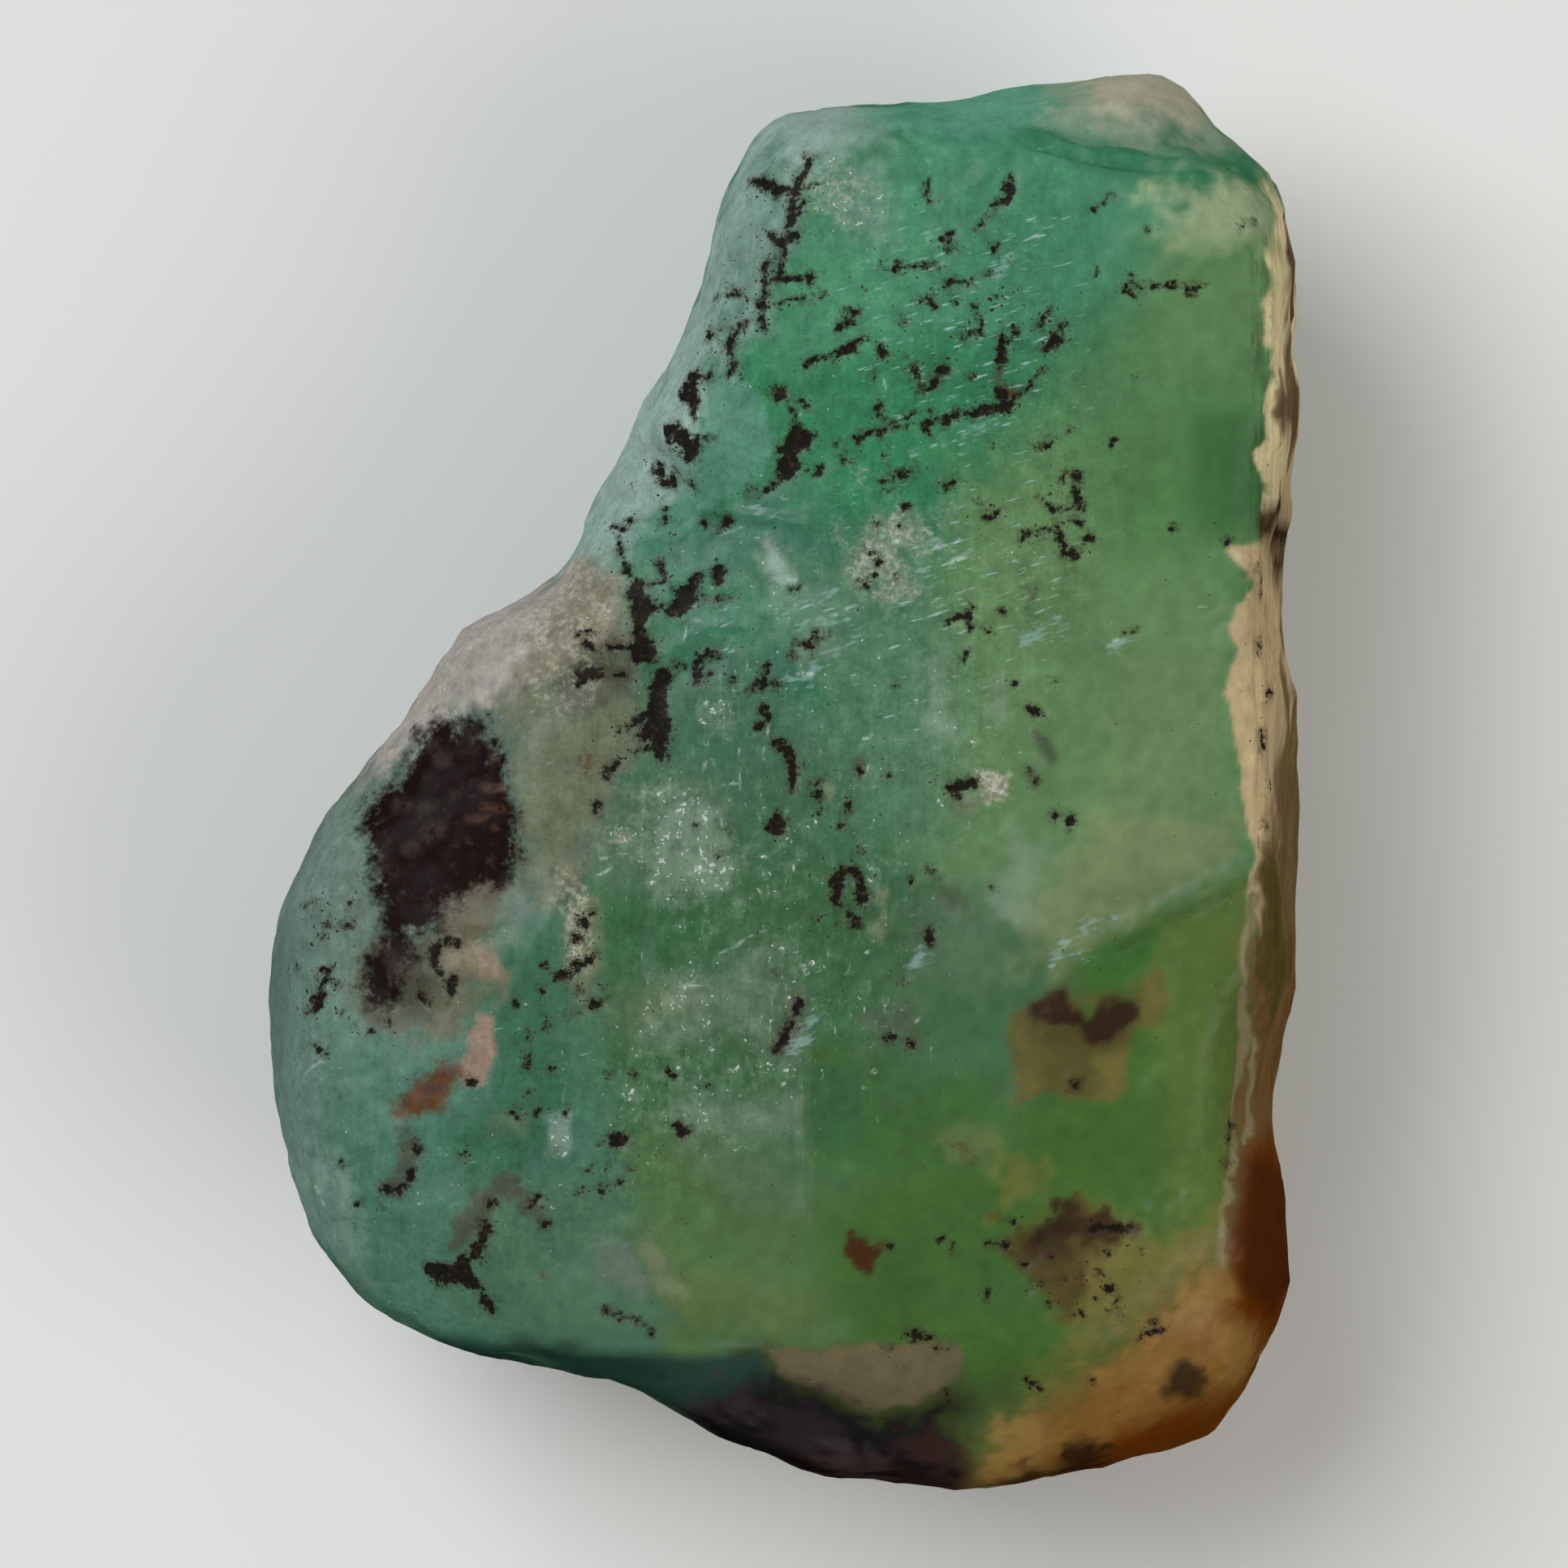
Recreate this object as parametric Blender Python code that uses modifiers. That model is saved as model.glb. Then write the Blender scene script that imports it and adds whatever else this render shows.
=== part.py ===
"""A rough emerald crystal, about 35 mm long, lying on its back with its broad flat face up.

+X is the right-hand side with the rind, +Y the top end, +Z up. The origin is on the resting
face, under the middle of the outline. Every length is in millimetres until MM turns it to metres.
"""

import math

import bmesh
import bpy
from mathutils import Matrix, Vector, noise

MM = 0.001
NAME = "emerald_crystal"

# Driving dimensions, in mm.
THICKNESS = 12.6  # from the resting face to the flat upper face
CELL = 0.40  # width of one face of the fine mesh that the relief is carved in
WELD = 0.03  # points nearer than this become one
FACE_LIMIT = 7400  # triangles kept once flat stretches are thinned out
TOP_RINGS = 5  # rings between the widest outline and the flat upper face
BACK_RINGS = 4  # rings between the widest outline and the resting face
FACE_WAVE = 0.10  # height of the slow waves on the upper face
SIDE_WAVE = 0.2  # the same on the sides and the back
RIND_RIDGE = 0.14  # height of the long ridges on the right wall

# The widest outline seen from above, clockwise from the upper left corner.
RIM_MM = (
    (-0.2, 16.3), (0.6, 16.5), (2.0, 16.7), (3.2, 16.6), (4.6, 16.8), (5.6, 17.05), (7.6, 17.3), (9.0, 17.4),
    (9.6, 17.1), (10.3, 16.5), (10.8, 15.85), (11.4, 15.5), (11.8, 14.9), (12.25, 13.9), (12.5, 12.9), (12.5, 11.7),
    (12.4, 10.7), (12.55, 9.7), (12.5, 8.5), (12.3, 7.7), (12.4, 6.7), (12.15, 6.0), (12.1, 4.9), (12.2, 3.5),
    (12.5, 1.7), (12.65, -0.5), (12.7, -3.3), (12.6, -4.6), (12.3, -5.6), (12.1, -6.6), (12.0, -8.3), (12.2, -9.7),
    (12.4, -11.1), (12.35, -12.5), (12.0, -13.9), (11.3, -15.0), (10.2, -15.9), (9.0, -16.5), (7.6, -16.7),
    (6.4, -17.1), (5.0, -17.4), (3.6, -17.2), (2.4, -17.0), (1.2, -17.0), (0.2, -16.7), (-1.4, -16.1), (-2.6, -15.3),
    (-4.0, -14.6), (-5.6, -14.2), (-7.4, -13.9), (-8.8, -13.5), (-10.2, -12.8), (-11.2, -11.7), (-12.0, -10.1),
    (-12.4, -8.3), (-12.65, -6.1), (-12.65, -4.3), (-12.5, -3.1), (-12.0, -1.9), (-11.4, -0.7), (-10.5, 0.3),
    (-9.8, 1.2), (-9.0, 2.1), (-8.7, 3.0), (-7.9, 4.0), (-6.6, 4.6), (-5.4, 5.2), (-5.0, 6.1), (-4.5, 7.3),
    (-3.6, 8.9), (-2.6, 10.7), (-2.0, 11.9), (-1.65, 13.5), (-1.3, 14.5), (-0.7, 15.5),
)

# The line that the rings close in on.
SPINE_MM = ((5.2, 11.0), (4.0, 4.0), (1.0, -4.0), (0.6, -9.0))

# How the edge falls away at some rim points, read between them: rim point number, how far the
# upper face stands in from the rim, height of the widest line, how far the back stands in, and
# how round the upper edge is (0 for a straight slope, 1 for a quarter round).
EDGE_MM = (
    (0, 1.1, 8.6, 4.0, 0.6), (5, 1.4, 8.2, 4.4, 0.8), (8, 2.2, 8.2, 5.2, 1.0), (12, 1.6, 7.8, 4.6, 0.8),
    (16, 1.0, 6.6, 4.2, 0.5), (22, 1.1, 7.4, 4.4, 0.6), (27, 1.3, 6.4, 4.0, 0.5), (31, 2.0, 6.0, 4.0, 1.0),
    (34, 3.2, 5.6, 4.6, 1.0), (38, 2.8, 6.0, 4.8, 1.0), (43, 1.5, 7.0, 4.2, 0.9), (47, 1.2, 7.6, 3.6, 0.8),
    (51, 1.9, 7.6, 4.2, 1.0), (55, 2.5, 7.0, 4.6, 1.0), (60, 2.1, 7.2, 4.6, 1.0), (64, 1.7, 7.8, 4.2, 1.0),
    (66, 1.3, 8.2, 3.6, 0.8), (69, 1.1, 8.6, 3.8, 0.7), (74, 1.0, 8.6, 4.0, 0.6),
)

# Slabs that cut flat faces: name, a point of the face, the way it faces (degrees from +X
# towards +Y), its dip below the horizontal (over 90 degrees faces down), and the half width and
# half length of the slab.
FACETS = (
    ("cut_top_end_right", (8.5, 15.4, 12.5), 80, 36, 6.0, 5.0),
    ("cut_top_end_left", (2.4, 15.7, 12.5), 95, 34, 6.5, 5.0),
    ("cut_left_flat", (-0.4, 8.7, 12.5), 203, 8, 4.4, 5.4),
    ("cut_left_edge", (-1.7, 11.6, 12.2), 155, 50, 6.2, 4.4),
    ("cut_right_wall", (11.65, 2.0, 12.4), -1, 79, 20.0, 10.0),
    ("cut_lower_slope", (-3.3, -13.8, 12.4), -98, 45, 8.0, 6.0),
    ("cut_lower_middle", (2.8, -13.9, 12.4), -85, 35, 7.0, 6.0),
    ("cut_lower_right", (8.7, -12.7, 12.3), -45, 30, 7.0, 7.0),
    ("cut_lobe_top", (-5.4, 2.5, 12.3), 128, 28, 5.6, 6.0),
    ("cut_lobe_left", (-9.7, -5.3, 12.2), 183, 13, 9.0, 5.0),
    ("cut_lobe_foot", (-9.2, -10.6, 12.1), 228, 30, 6.0, 5.0),
    ("cut_back_right", (12.2, 0.0, 6.2), -3, 128, 22.0, 9.0),
    ("cut_back_left", (-11.4, -6.0, 5.4), 196, 124, 16.0, 8.0),
    ("cut_back_upper_left", (-3.0, 10.0, 5.6), 156, 126, 9.0, 8.0),
    ("cut_back_lobe_top", (-9.6, 3.2, 5.6), 138, 128, 7.0, 8.0),
    ("cut_back_top_end", (6.0, 17.5, 6.2), 86, 116, 12.0, 8.0),
    ("cut_back_foot", (1.0, -16.6, 6.0), -96, 126, 14.0, 8.0),
    ("cut_back_lower_right", (10.6, -15.0, 5.0), -48, 128, 10.0, 8.0),
)


def stretch(number):
    """The four edge values at a rim point, read between the points that EDGE_MM names."""
    for low, high in zip(EDGE_MM, EDGE_MM[1:]):
        if low[0] <= number <= high[0]:
            share = (number - low[0]) / (high[0] - low[0])
            return [a + (b - a) * share for a, b in zip(low[1:], high[1:])]
    return list(EDGE_MM[-1][1:])


def nearest_on(line, point):
    """The point of the open line nearest to this one, in the plane."""
    best = None
    for start, end in zip(line, line[1:]):
        a, b = Vector(start), Vector(end)
        share = max(0.0, min(1.0, (point - a).dot(b - a) / (b - a).length_squared))
        found = a + (b - a) * share
        if best is None or (found - point).length < (best - point).length:
            best = found
    return best


def ring_points(step, steps, upper):
    """One ring of the blank, from the widest outline (step 0) to a flat face (the last step)."""
    ring = []
    for number, rim in enumerate(RIM_MM):
        inset_top, widest, inset_back, roundness = stretch(number)
        share = step / steps
        turn = share * math.pi / 2
        if upper:
            out = (1 - math.cos(turn)) * roundness + share * (1 - roundness)
            up = math.sin(turn) * roundness + share * (1 - roundness)
            inset, height = inset_top * out, widest + (THICKNESS - widest) * up
        else:
            out = (1 - math.cos(turn)) * 0.6 + share * 0.4
            down = math.sin(turn) * 0.6 + share * 0.4
            inset, height = inset_back * out, widest * (1 - down)
        rim = Vector(rim)
        inward = (nearest_on(SPINE_MM, rim) - rim).normalized()
        ring.append(Vector((*(rim + inward * inset), height)))
    return ring


def ringed_blank():
    """The whole lump as rings joined by faces, closed by the flat upper and resting faces."""
    blank = bmesh.new()
    rings = [ring_points(step, BACK_RINGS, False) for step in range(BACK_RINGS, 0, -1)]
    rings += [ring_points(step, TOP_RINGS, True) for step in range(TOP_RINGS + 1)]
    loops = [[blank.verts.new(point) for point in ring] for ring in rings]
    count = len(RIM_MM)
    for low, high in zip(loops, loops[1:]):
        for i in range(count):
            j = (i + 1) % count
            blank.faces.new((low[i], high[i], high[j], low[j]))
    caps = [blank.faces.new(loops[0]), blank.faces.new(reversed(loops[-1]))]
    bmesh.ops.triangulate(blank, faces=caps)
    bmesh.ops.recalc_face_normals(blank, faces=blank.faces)
    return blank


def new_object(name, shape, collection):
    mesh = bpy.data.meshes.new(name)
    shape.to_mesh(mesh)
    shape.free()
    obj = bpy.data.objects.new(name, mesh)
    collection.objects.link(obj)
    return obj


def new_collection(name):
    collection = bpy.data.collections.new(name)
    bpy.context.scene.collection.children.link(collection)
    return collection


def slab_cutter(name, point, azimuth, dip, half_width, half_length, collection):
    """A thick slab whose lower face lies on the facet, ready to be subtracted."""
    slab = bmesh.new()
    bmesh.ops.create_cube(slab, size=2.0)
    bmesh.ops.translate(slab, verts=slab.verts, vec=(0, 0, 1))
    bmesh.ops.scale(slab, verts=slab.verts, vec=(half_length, half_width, 6.0))
    turn = Matrix.Rotation(math.radians(azimuth), 4, "Z") @ Matrix.Rotation(math.radians(dip), 4, "Y")
    bmesh.ops.transform(slab, matrix=Matrix.Translation(point) @ turn, verts=slab.verts)
    cutter = new_object(name, slab, collection)
    cutter.hide_render = True
    cutter.display_type = "WIRE"
    return cutter


# Steps of the surface: name, height in mm (below zero sinks), width of the step, outline.
STEPS = (
    ("hollow of the dark patch", -0.5, 0.5, (
        (-9.0, 1.6), (-8.2, 2.0), (-6.9, 1.4), (-6.76, 0.3), (-6.6, -0.7), (-6.4, -1.6), (-6.1, -2.5),
        (-6.6, -3.0), (-7.6, -3.6), (-9.2, -4.0), (-10.3, -2.9), (-10.6, -0.9), (-10.0, 0.2))),
    ("second hollow", -0.25, 0.6, (
        (-10.4, -3.9), (-9.4, -4.3), (-8.6, -5.2), (-8.9, -6.3), (-10.4, -5.9), (-11.0, -4.7))),
    ("end beyond the top ledge", -0.6, 0.4, (
        (3.0, 16.4), (5.6, 16.1), (7.0, 15.6), (9.4, 15.2), (11.6, 15.0), (12.6, 16.0), (9.4, 18.6), (3.2, 18.2))),
    ("rind, upper length", 0.2, 0.3, (
        (11.6, 14.8), (11.8, 13.2), (11.7, 11.2), (11.85, 9.0), (11.5, 8.2), (11.8, 7.4), (11.4, 6.6),
        (14.0, 6.2), (14.0, 15.0))),
    ("rind, lower length", 0.2, 0.3, (
        (11.0, 6.0), (10.9, 3.4), (10.8, 2.0), (11.2, 0.2), (11.5, -1.2), (11.6, -3.0), (11.4, -5.4),
        (11.1, -8.0), (10.7, -11.6), (14.0, -12.0), (14.0, 5.6))),
    ("below the slanting break", -0.22, 0.5, (
        (11.5, -2.1), (10.3, -2.6), (9.0, -3.4), (8.0, -4.0), (6.6, -4.9), (5.4, -6.6), (6.0, -9.4), (8.6, -10.6),
        (11.0, -10.0), (11.6, -6.0))),
    ("pale block of the upper end", 0.18, 0.4, (
        (8.8, 14.8), (11.4, 14.7), (11.6, 13.0), (9.0, 13.2))),
    ("flat left of the long joint", -0.18, 0.4, (
        (-4.4, -9.6), (-3.6, -11.4), (-2.8, -13.2), (-8.0, -13.4), (-11.0, -10.6), (-9.0, -8.6), (-6.0, -8.4))),
    ("lens on the lower slope", 0.3, 0.5, (
        (-0.5, -14.1), (1.4, -14.0), (3.4, -14.1), (4.6, -14.6), (3.4, -15.5), (1.6, -15.2), (0.2, -14.8))),
)

# Pits and bumps: x, y, z, radius and height in mm. Below zero sinks.
PITS = (
    (11.84, 6.25, 9.6, 0.75, -0.7), (11.7, 5.1, 9.8, 0.6, -0.4), (12.0, -2.6, 9.0, 1.1, -0.5),
    (12.0, -4.4, 9.0, 1.1, -0.5), (12.4, 12.2, 9.0, 0.9, -0.35), (11.2, -11.4, 10.0, 1.3, 0.35),
    (10.0, -13.6, 10.6, 1.6, 0.3), (6.8, -16.2, 8.8, 1.1, -0.35), (9.6, -14.9, 9.6, 0.9, -0.3),
    (-7.4, 3.6, 10.8, 1.1, 0.35), (-9.6, 0.6, 10.0, 0.9, 0.25), (-5.6, 4.6, 10.8, 0.8, -0.25),
    (-12.0, -7.6, 8.4, 1.6, 0.3), (-3.0, -15.0, 9.0, 1.2, -0.35), (2.4, -16.8, 7.6, 1.3, 0.35),
    (12.2, -8.2, 5.6, 1.6, -0.45), (12.6, 3.0, 5.4, 1.8, 0.4), (6.0, 17.0, 6.6, 1.6, -0.4),
    (-3.6, 9.4, 6.4, 1.4, -0.4), (-11.8, -3.4, 5.6, 1.8, 0.4), (-8.4, -13.0, 5.8, 1.6, -0.4),
    (-2.0, 13.0, 8.6, 1.0, -0.25), (10.6, -15.6, 6.2, 1.5, 0.4), (-9.0, 2.4, 5.4, 1.2, -0.35),
    (10.4, 9.0, 2.6, 2.2, -0.35), (9.6, -6.0, 2.4, 2.2, 0.3), (-8.4, -6.0, 2.2, 2.2, -0.35), (3.0, 14.0, 2.0, 2.0, 0.3),
)

# Places worn round before the relief is carved: x, y, z, radius in mm, and passes of smoothing.
WORN = (
    (-4.3, 5.0, 11.6, 2.4, 14), (10.4, -14.4, 9.6, 3.8, 10), (9.4, 16.2, 9.4, 2.0, 5), (-8.0, 2.6, 10.4, 2.4, 5),
    (-11.4, -7.0, 10.0, 3.6, 10), (11.6, 15.0, 8.0, 2.4, 8), (4.0, -16.4, 7.6, 3.4, 8), (-4.8, 5.4, 5.4, 3.0, 12),
)


def rising(low, high, value):
    """0 below low, 1 above high, and a smooth climb between them."""
    share = max(0.0, min(1.0, (value - low) / (high - low)))
    return share * share * (3 - 2 * share)


def depth_inside(outline, x, y):
    """How far the point lies inside a closed outline; below zero it lies outside."""
    inside, nearest = False, 1e9
    for (ax, ay), (bx, by) in zip(outline, outline[1:] + outline[:1]):
        share = ((x - ax) * (bx - ax) + (y - ay) * (by - ay)) / ((bx - ax) ** 2 + (by - ay) ** 2)
        share = max(0.0, min(1.0, share))
        nearest = min(nearest, math.hypot(ax + (bx - ax) * share - x, ay + (by - ay) * share - y))
        if (ay > y) != (by > y) and x < ax + (bx - ax) * (y - ay) / (by - ay):
            inside = not inside
    return nearest if inside else -nearest


def step_height(place, outward):
    """The steps are cut in the upper side, and fade out down the walls."""
    if place.z < 7.5:
        return 0.0
    height = 0.0
    for _, rise, width, outline in STEPS:
        height += rise * rising(-width / 2, width / 2, depth_inside(outline, place.x, place.y))
    return height * rising(7.5, 10.5, place.z) * rising(-0.1, 0.5, outward.z)


def pit_height(place):
    height = 0.0
    for x, y, z, radius, rise in PITS:
        height += rise * (1 - rising(0.25, 1.0, (place - Vector((x, y, z))).length / radius))
    return height


def wave_height(place, outward):
    """Slow and quick waves: gentle on the upper face, rougher on the sides and the back."""
    slow = noise.fractal(place * 0.22, 1.0, 2.0, 2)
    quick = noise.fractal(place * 0.62 + Vector((7, 3, 1)), 0.8, 2.1, 3)
    rough = SIDE_WAVE + (FACE_WAVE - SIDE_WAVE) * rising(0.8, 0.97, outward.z)
    return rough * (slow * 1.1 + quick)


def ridge_height(place, outward):
    """Long ridges along Y: growth lines on the right wall, and fainter ones on the back."""
    line = noise.noise(Vector((place.x * 1.1, place.y * 0.12, place.z * 1.25)))
    wall = rising(0.7, 0.95, outward.x) * rising(5.0, 6.5, place.z)
    back = 0.7 * rising(0.1, 0.5, -outward.z)
    return RIND_RIDGE * line * 2.0 * max(wall, back)


def wear(stone):
    """Rounds the places that WORN names, and leaves the other edges sharp."""
    for x, y, z, radius, passes in WORN:
        near = [point for point in stone.verts if (point.co - Vector((x, y, z))).length < radius]
        for _ in range(passes):
            bmesh.ops.smooth_vert(stone, verts=near, factor=0.5, use_axis_x=True, use_axis_y=True, use_axis_z=True)


def carve(stone):
    """Moves each point along its own outward direction, less at the rim and the resting face."""
    stone.normal_update()
    moves = []
    for point in stone.verts:
        place, outward = point.co.copy(), point.normal.copy()
        height = step_height(place, outward) + pit_height(place)
        height += wave_height(place, outward) + ridge_height(place, outward)
        rim = abs(depth_inside(RIM_MM, place.x, place.y))
        moves.append(outward * height * rising(0.02, 1.6, place.z) * (0.45 + 0.55 * rising(0.2, 1.4, rim)))
    for point, move in zip(stone.verts, moves):
        point.co += move


def stone_material():
    material = bpy.data.materials.new("rough emerald")
    material.use_nodes = True
    shader = material.node_tree.nodes["Principled BSDF"]
    shader.inputs["Base Color"].default_value = (0.06, 0.30, 0.15, 1)
    shader.inputs["Roughness"].default_value = 0.38
    shader.inputs["IOR"].default_value = 1.58
    shader.inputs["Subsurface Weight"].default_value = 0.4
    shader.inputs["Subsurface Radius"].default_value = (0.0006, 0.0014, 0.0009)
    return material


def shape_of(obj):
    """The object's shape with its modifiers worked out."""
    bpy.context.view_layer.update()
    shape = bmesh.new()
    shape.from_object(obj, bpy.context.evaluated_depsgraph_get())
    return shape


def thinned(stone, cutters):
    """The same shape with fewer triangles: wide ones where it is flat, small ones on its ridges."""
    fine = new_object("fine shape", stone, cutters)
    fine.hide_render = True
    fine.data.calc_loop_triangles()
    thin = fine.modifiers.new("thin out", "DECIMATE")
    thin.ratio = FACE_LIMIT / len(fine.data.loop_triangles)
    return shape_of(fine)


def faceted_blank(cutters):
    """The rings with every flat face cut, then laid out again in even faces."""
    blank = new_object("blank", ringed_blank(), cutters)
    blank.hide_render = True
    for name, point, azimuth, dip, half_width, half_length in FACETS:
        slab = slab_cutter(name, point, azimuth, dip, half_width, half_length, cutters)
        cut = blank.modifiers.new(name, "BOOLEAN")
        cut.operation, cut.solver, cut.object = "DIFFERENCE", "EXACT", slab
    even = blank.modifiers.new("even faces", "REMESH")
    even.mode, even.octree_depth = "SHARP", 7
    even.scale = (max(y for _, y in RIM_MM) - min(y for _, y in RIM_MM)) / (CELL * 2**7)
    shape = shape_of(blank)
    bmesh.ops.remove_doubles(shape, verts=shape.verts, dist=WELD)
    return shape


def seat(stone):
    """The resting face at z = 0, with the origin under the middle of the whole outline."""
    for axis in range(2):
        values = [point.co[axis] for point in stone.verts]
        middle = (min(values) + max(values)) / 2
        for point in stone.verts:
            point.co[axis] -= middle
    for point in stone.verts:
        if point.co.z < 0.06:
            point.co.z = 0.0


def main():
    for obj in list(bpy.data.objects):
        bpy.data.objects.remove(obj)
    cutters = new_collection("cutters")
    cutters.hide_render = True
    stone = faceted_blank(cutters)
    wear(stone)
    carve(stone)
    stone = thinned(stone, cutters)
    seat(stone)
    bmesh.ops.scale(stone, verts=stone.verts, vec=(MM, MM, MM))
    obj = new_object(NAME, stone, new_collection("emerald crystal"))
    obj.data.materials.append(stone_material())


main()
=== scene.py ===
"""The look of a rough emerald crystal that lies on its back on a pale table.

The stone is a copy of the solid, laid out again in small even faces and given its fine relief.
Washes of colour, mica flakes, stains and bright flecks are drawn on it in millimetres. The bright
flecks are painted glints, and some washes hold painted light and shade. They are worked out at its
points, and one material turns them into colour, gloss and fine bumps.
"""

import bmesh
import bpy
import numpy as np
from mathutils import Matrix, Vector, noise


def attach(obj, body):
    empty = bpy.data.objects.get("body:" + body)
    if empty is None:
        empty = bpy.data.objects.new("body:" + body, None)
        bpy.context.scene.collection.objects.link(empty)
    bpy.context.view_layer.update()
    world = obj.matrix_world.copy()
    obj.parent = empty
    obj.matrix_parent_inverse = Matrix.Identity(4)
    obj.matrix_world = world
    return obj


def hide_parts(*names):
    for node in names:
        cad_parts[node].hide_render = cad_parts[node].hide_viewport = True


MM = 0.001
NODE = "emerald_crystal"
FAR = 1e9  # farther than any point of the stone
TINY = 1e-12  # in place of the length of a dot, which has none

# The mesh of the dressed stone, in mm.
EVEN_FACE = 0.40  # width of one face on the sides and the back
UPPER_CUTS = 3  # each edge of the upper side is cut this many times
UPPER_TILT = 0.40  # faces whose outward Z is above this belong to the upper side
UPPER_FLOOR = 6.0  # and those higher than this
SMOOTHINGS = 3  # passes over all the even faces, and again over the cut ones
WELD = 0.001  # points nearer than this become one

# Where the drawings lie, in mm. They are drawn as an eye high above the stone sees them.
EYE_HEIGHT = 429.0  # above FOCUS
FOCUS = 7.5  # the height at which they keep their size
SEEN_TILT = (0.08, 0.3)  # they fade in over this outward Z
SEEN_HEIGHT = (3.0, 5.0)  # and over this height
OUT_OF_REACH = 2.0  # marks are moved this far off where they don't belong
MARK_BEND = 0.09  # noise moves the marks by this much
WASH_BEND = 0.25  # and the washes by this much
SIDE_TILT = (0.25, -0.05)  # the sides and the back begin over this outward Z
SIDE_STEP, LOW_DOWN = 0.7, (9.5, 5.0)  # low on the sides, the washes are looked up this far further in
SIDE_WANDER = np.array((1.2, 4.0))  # and up to this far from where they would lie
RIGHT_WALL = (0.6, 0.2)  # but not across X where the outward X is high, so that the rind keeps its edge
SIDE_MICA = 0.46  # the lower, the more mica lies on the sides and the back
STRAY_DUST = (0.1, 0.6)  # the noise over which dust lies there
RIND_X, RIND_Y, RIND_RAGGED = (11.2, 11.7), (-9.6, -7.6), 0.2  # where the fibrous rind begins
CREAM_FADE, CREAM_RAGGED = (0.06, -0.04), 0.08  # the soft and the ragged edge of the cream lines
FADING, FINER = 0.9, 2.0  # how fast the finer waves of a noise fade, and how much finer each is

# Heights of the fine relief, in mm.
FLAT_TILT = (0.3, 0.8)  # the flat upper face begins over this outward Z
GRAIN, SIDE_GRAIN = 0.030, 0.14  # on it and beside it
RIND_FIBRE, FIBRE_STRETCH = 0.05, np.array((2.6, 0.22, 2.0))  # the fibres run along Y
MICA_SINK, MICA_RIM = 0.035, (0.05, -0.05)  # the mica's depth, and the width of its rim
EDGE_FULLNESS = 0.06  # the sides stand out again by this much, after the smoothing
TOP_FULLNESS, TOP_END = 0.18, (5.0, 15.0)  # and by this much more toward the top end
LEDGE_SLOPE = 1.5  # a ledge fades out over its half width times this
FOOT = (0.05, 1.2)  # the relief fades in over this height, so that the resting face stays flat

# Painted shade, and gloss.
LOWER_END = np.array((0.25, -0.97, 0.0))  # the way the lower end faces, which is painted darker as shade
WALL_SHADE, END_SHADE = 0.02, 0.3  # how much painted shade darkens all walls, and the lower end
GLOSS, GLOSS_TILT = 0.25, (0.5, 0.95)  # weight of the coat, and the outward Z over which it begins

# The material: the waves of its noises, per mm.
MOTTLE_WAVES, GRAIN_WAVES = 2.4, 7.0
UPRIGHT_WAVES, FIBRE_WAVES = (8.0, 1.6, 8.0), (5.0, 0.5, 4.0)
COARSE = 0.65  # their roughness
ROW_TURN, ROW_GLINT_SIZE = 0.28, (0.62, 0.12, 0.3)  # the rise of the rows of painted glint flecks, and the size of one in mm
# The value over which each finish fades in, from none to full, and how strongly it then covers.
VEIL_FADE, VEIL_SHARE = (0.25, 1.35), 0.47
# the fine white specks below are painted glints
WHITE_GLINTS_FADE, WHITE_GLINTS_SHARE = (0.645, 0.70), 0.85
CRUST_FADE, CRUST_SHARE = (0.1, 1.9), 0.9
# The flecks in rows and upright, the pale blue streaks and the glints below are painted glints.
GLINT_FLECK_FADE, GLINT_ROWS_SHARE, UPRIGHT_GLINTS_SHARE = (0.7, 0.84), 0.75, 0.7
BLUE_GLINT_FADE, BLUE_GLINT_SHARE = (0.04, -0.3), 0.42
GLINT_FADE, GLINT_SHARE = (0.045, -0.045), 0.75
BROWN_FADE, BROWN_SHARE = (0.14, -0.24), 0.9
GREY_FADE, GREY_SHARE = (0.15, -0.25), 0.7
PATCH_FADE = (0.24, -0.3)
PATCH_LIGHT_FADE, PATCH_LIGHT_SHARE = (1.04, 1.4), 0.55
FRINGE_FADE, FRINGE_SHARE = (0.15, -0.04), 0.55
SPECK_FADE = (0.7, 0.74)
MICA_FADE, MICA_SHARE = (0.03, -0.05), 0.97
SATIN, SMOOTHEST, ROUGHEST = 0.36, 0.2, 0.9  # the roughness before noise moves it, and its limits
BERYL_IOR, COAT_ROUGHNESS = 1.58, 0.3
BUMP, BUMP_DEPTH, BUMP_WAVES = 0.45, 0.12, 4.0  # strength, depth in mm, waves per mm
SCATTER, SCATTER_DEPTH, SCATTER_BY_COLOUR = 0.1, 0.4, (0.5, 1.0, 0.7)  # weight, depth in mm, share of it

# The table, the lights and the camera.
TABLE_HALF = 1.5  # metres
TABLE_GREY = (0.82, 0.82, 0.81)
LIT_SPOT = (0, 0, 0.01)  # metres
SKY = 0.25
LENS, SENSOR = 400, 36
VIEW_WIDTH = 38.64  # mm across the picture, at the height of FOCUS

# Colours of the stone, in linear light.
EMERALD = (0.036, 0.204, 0.092)
BRIGHT = (0.076, 0.262, 0.146)
DEEP_EMERALD = (0.032, 0.172, 0.094)
TEAL = (0.070, 0.182, 0.124)
SEA = (0.050, 0.162, 0.104)
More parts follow.
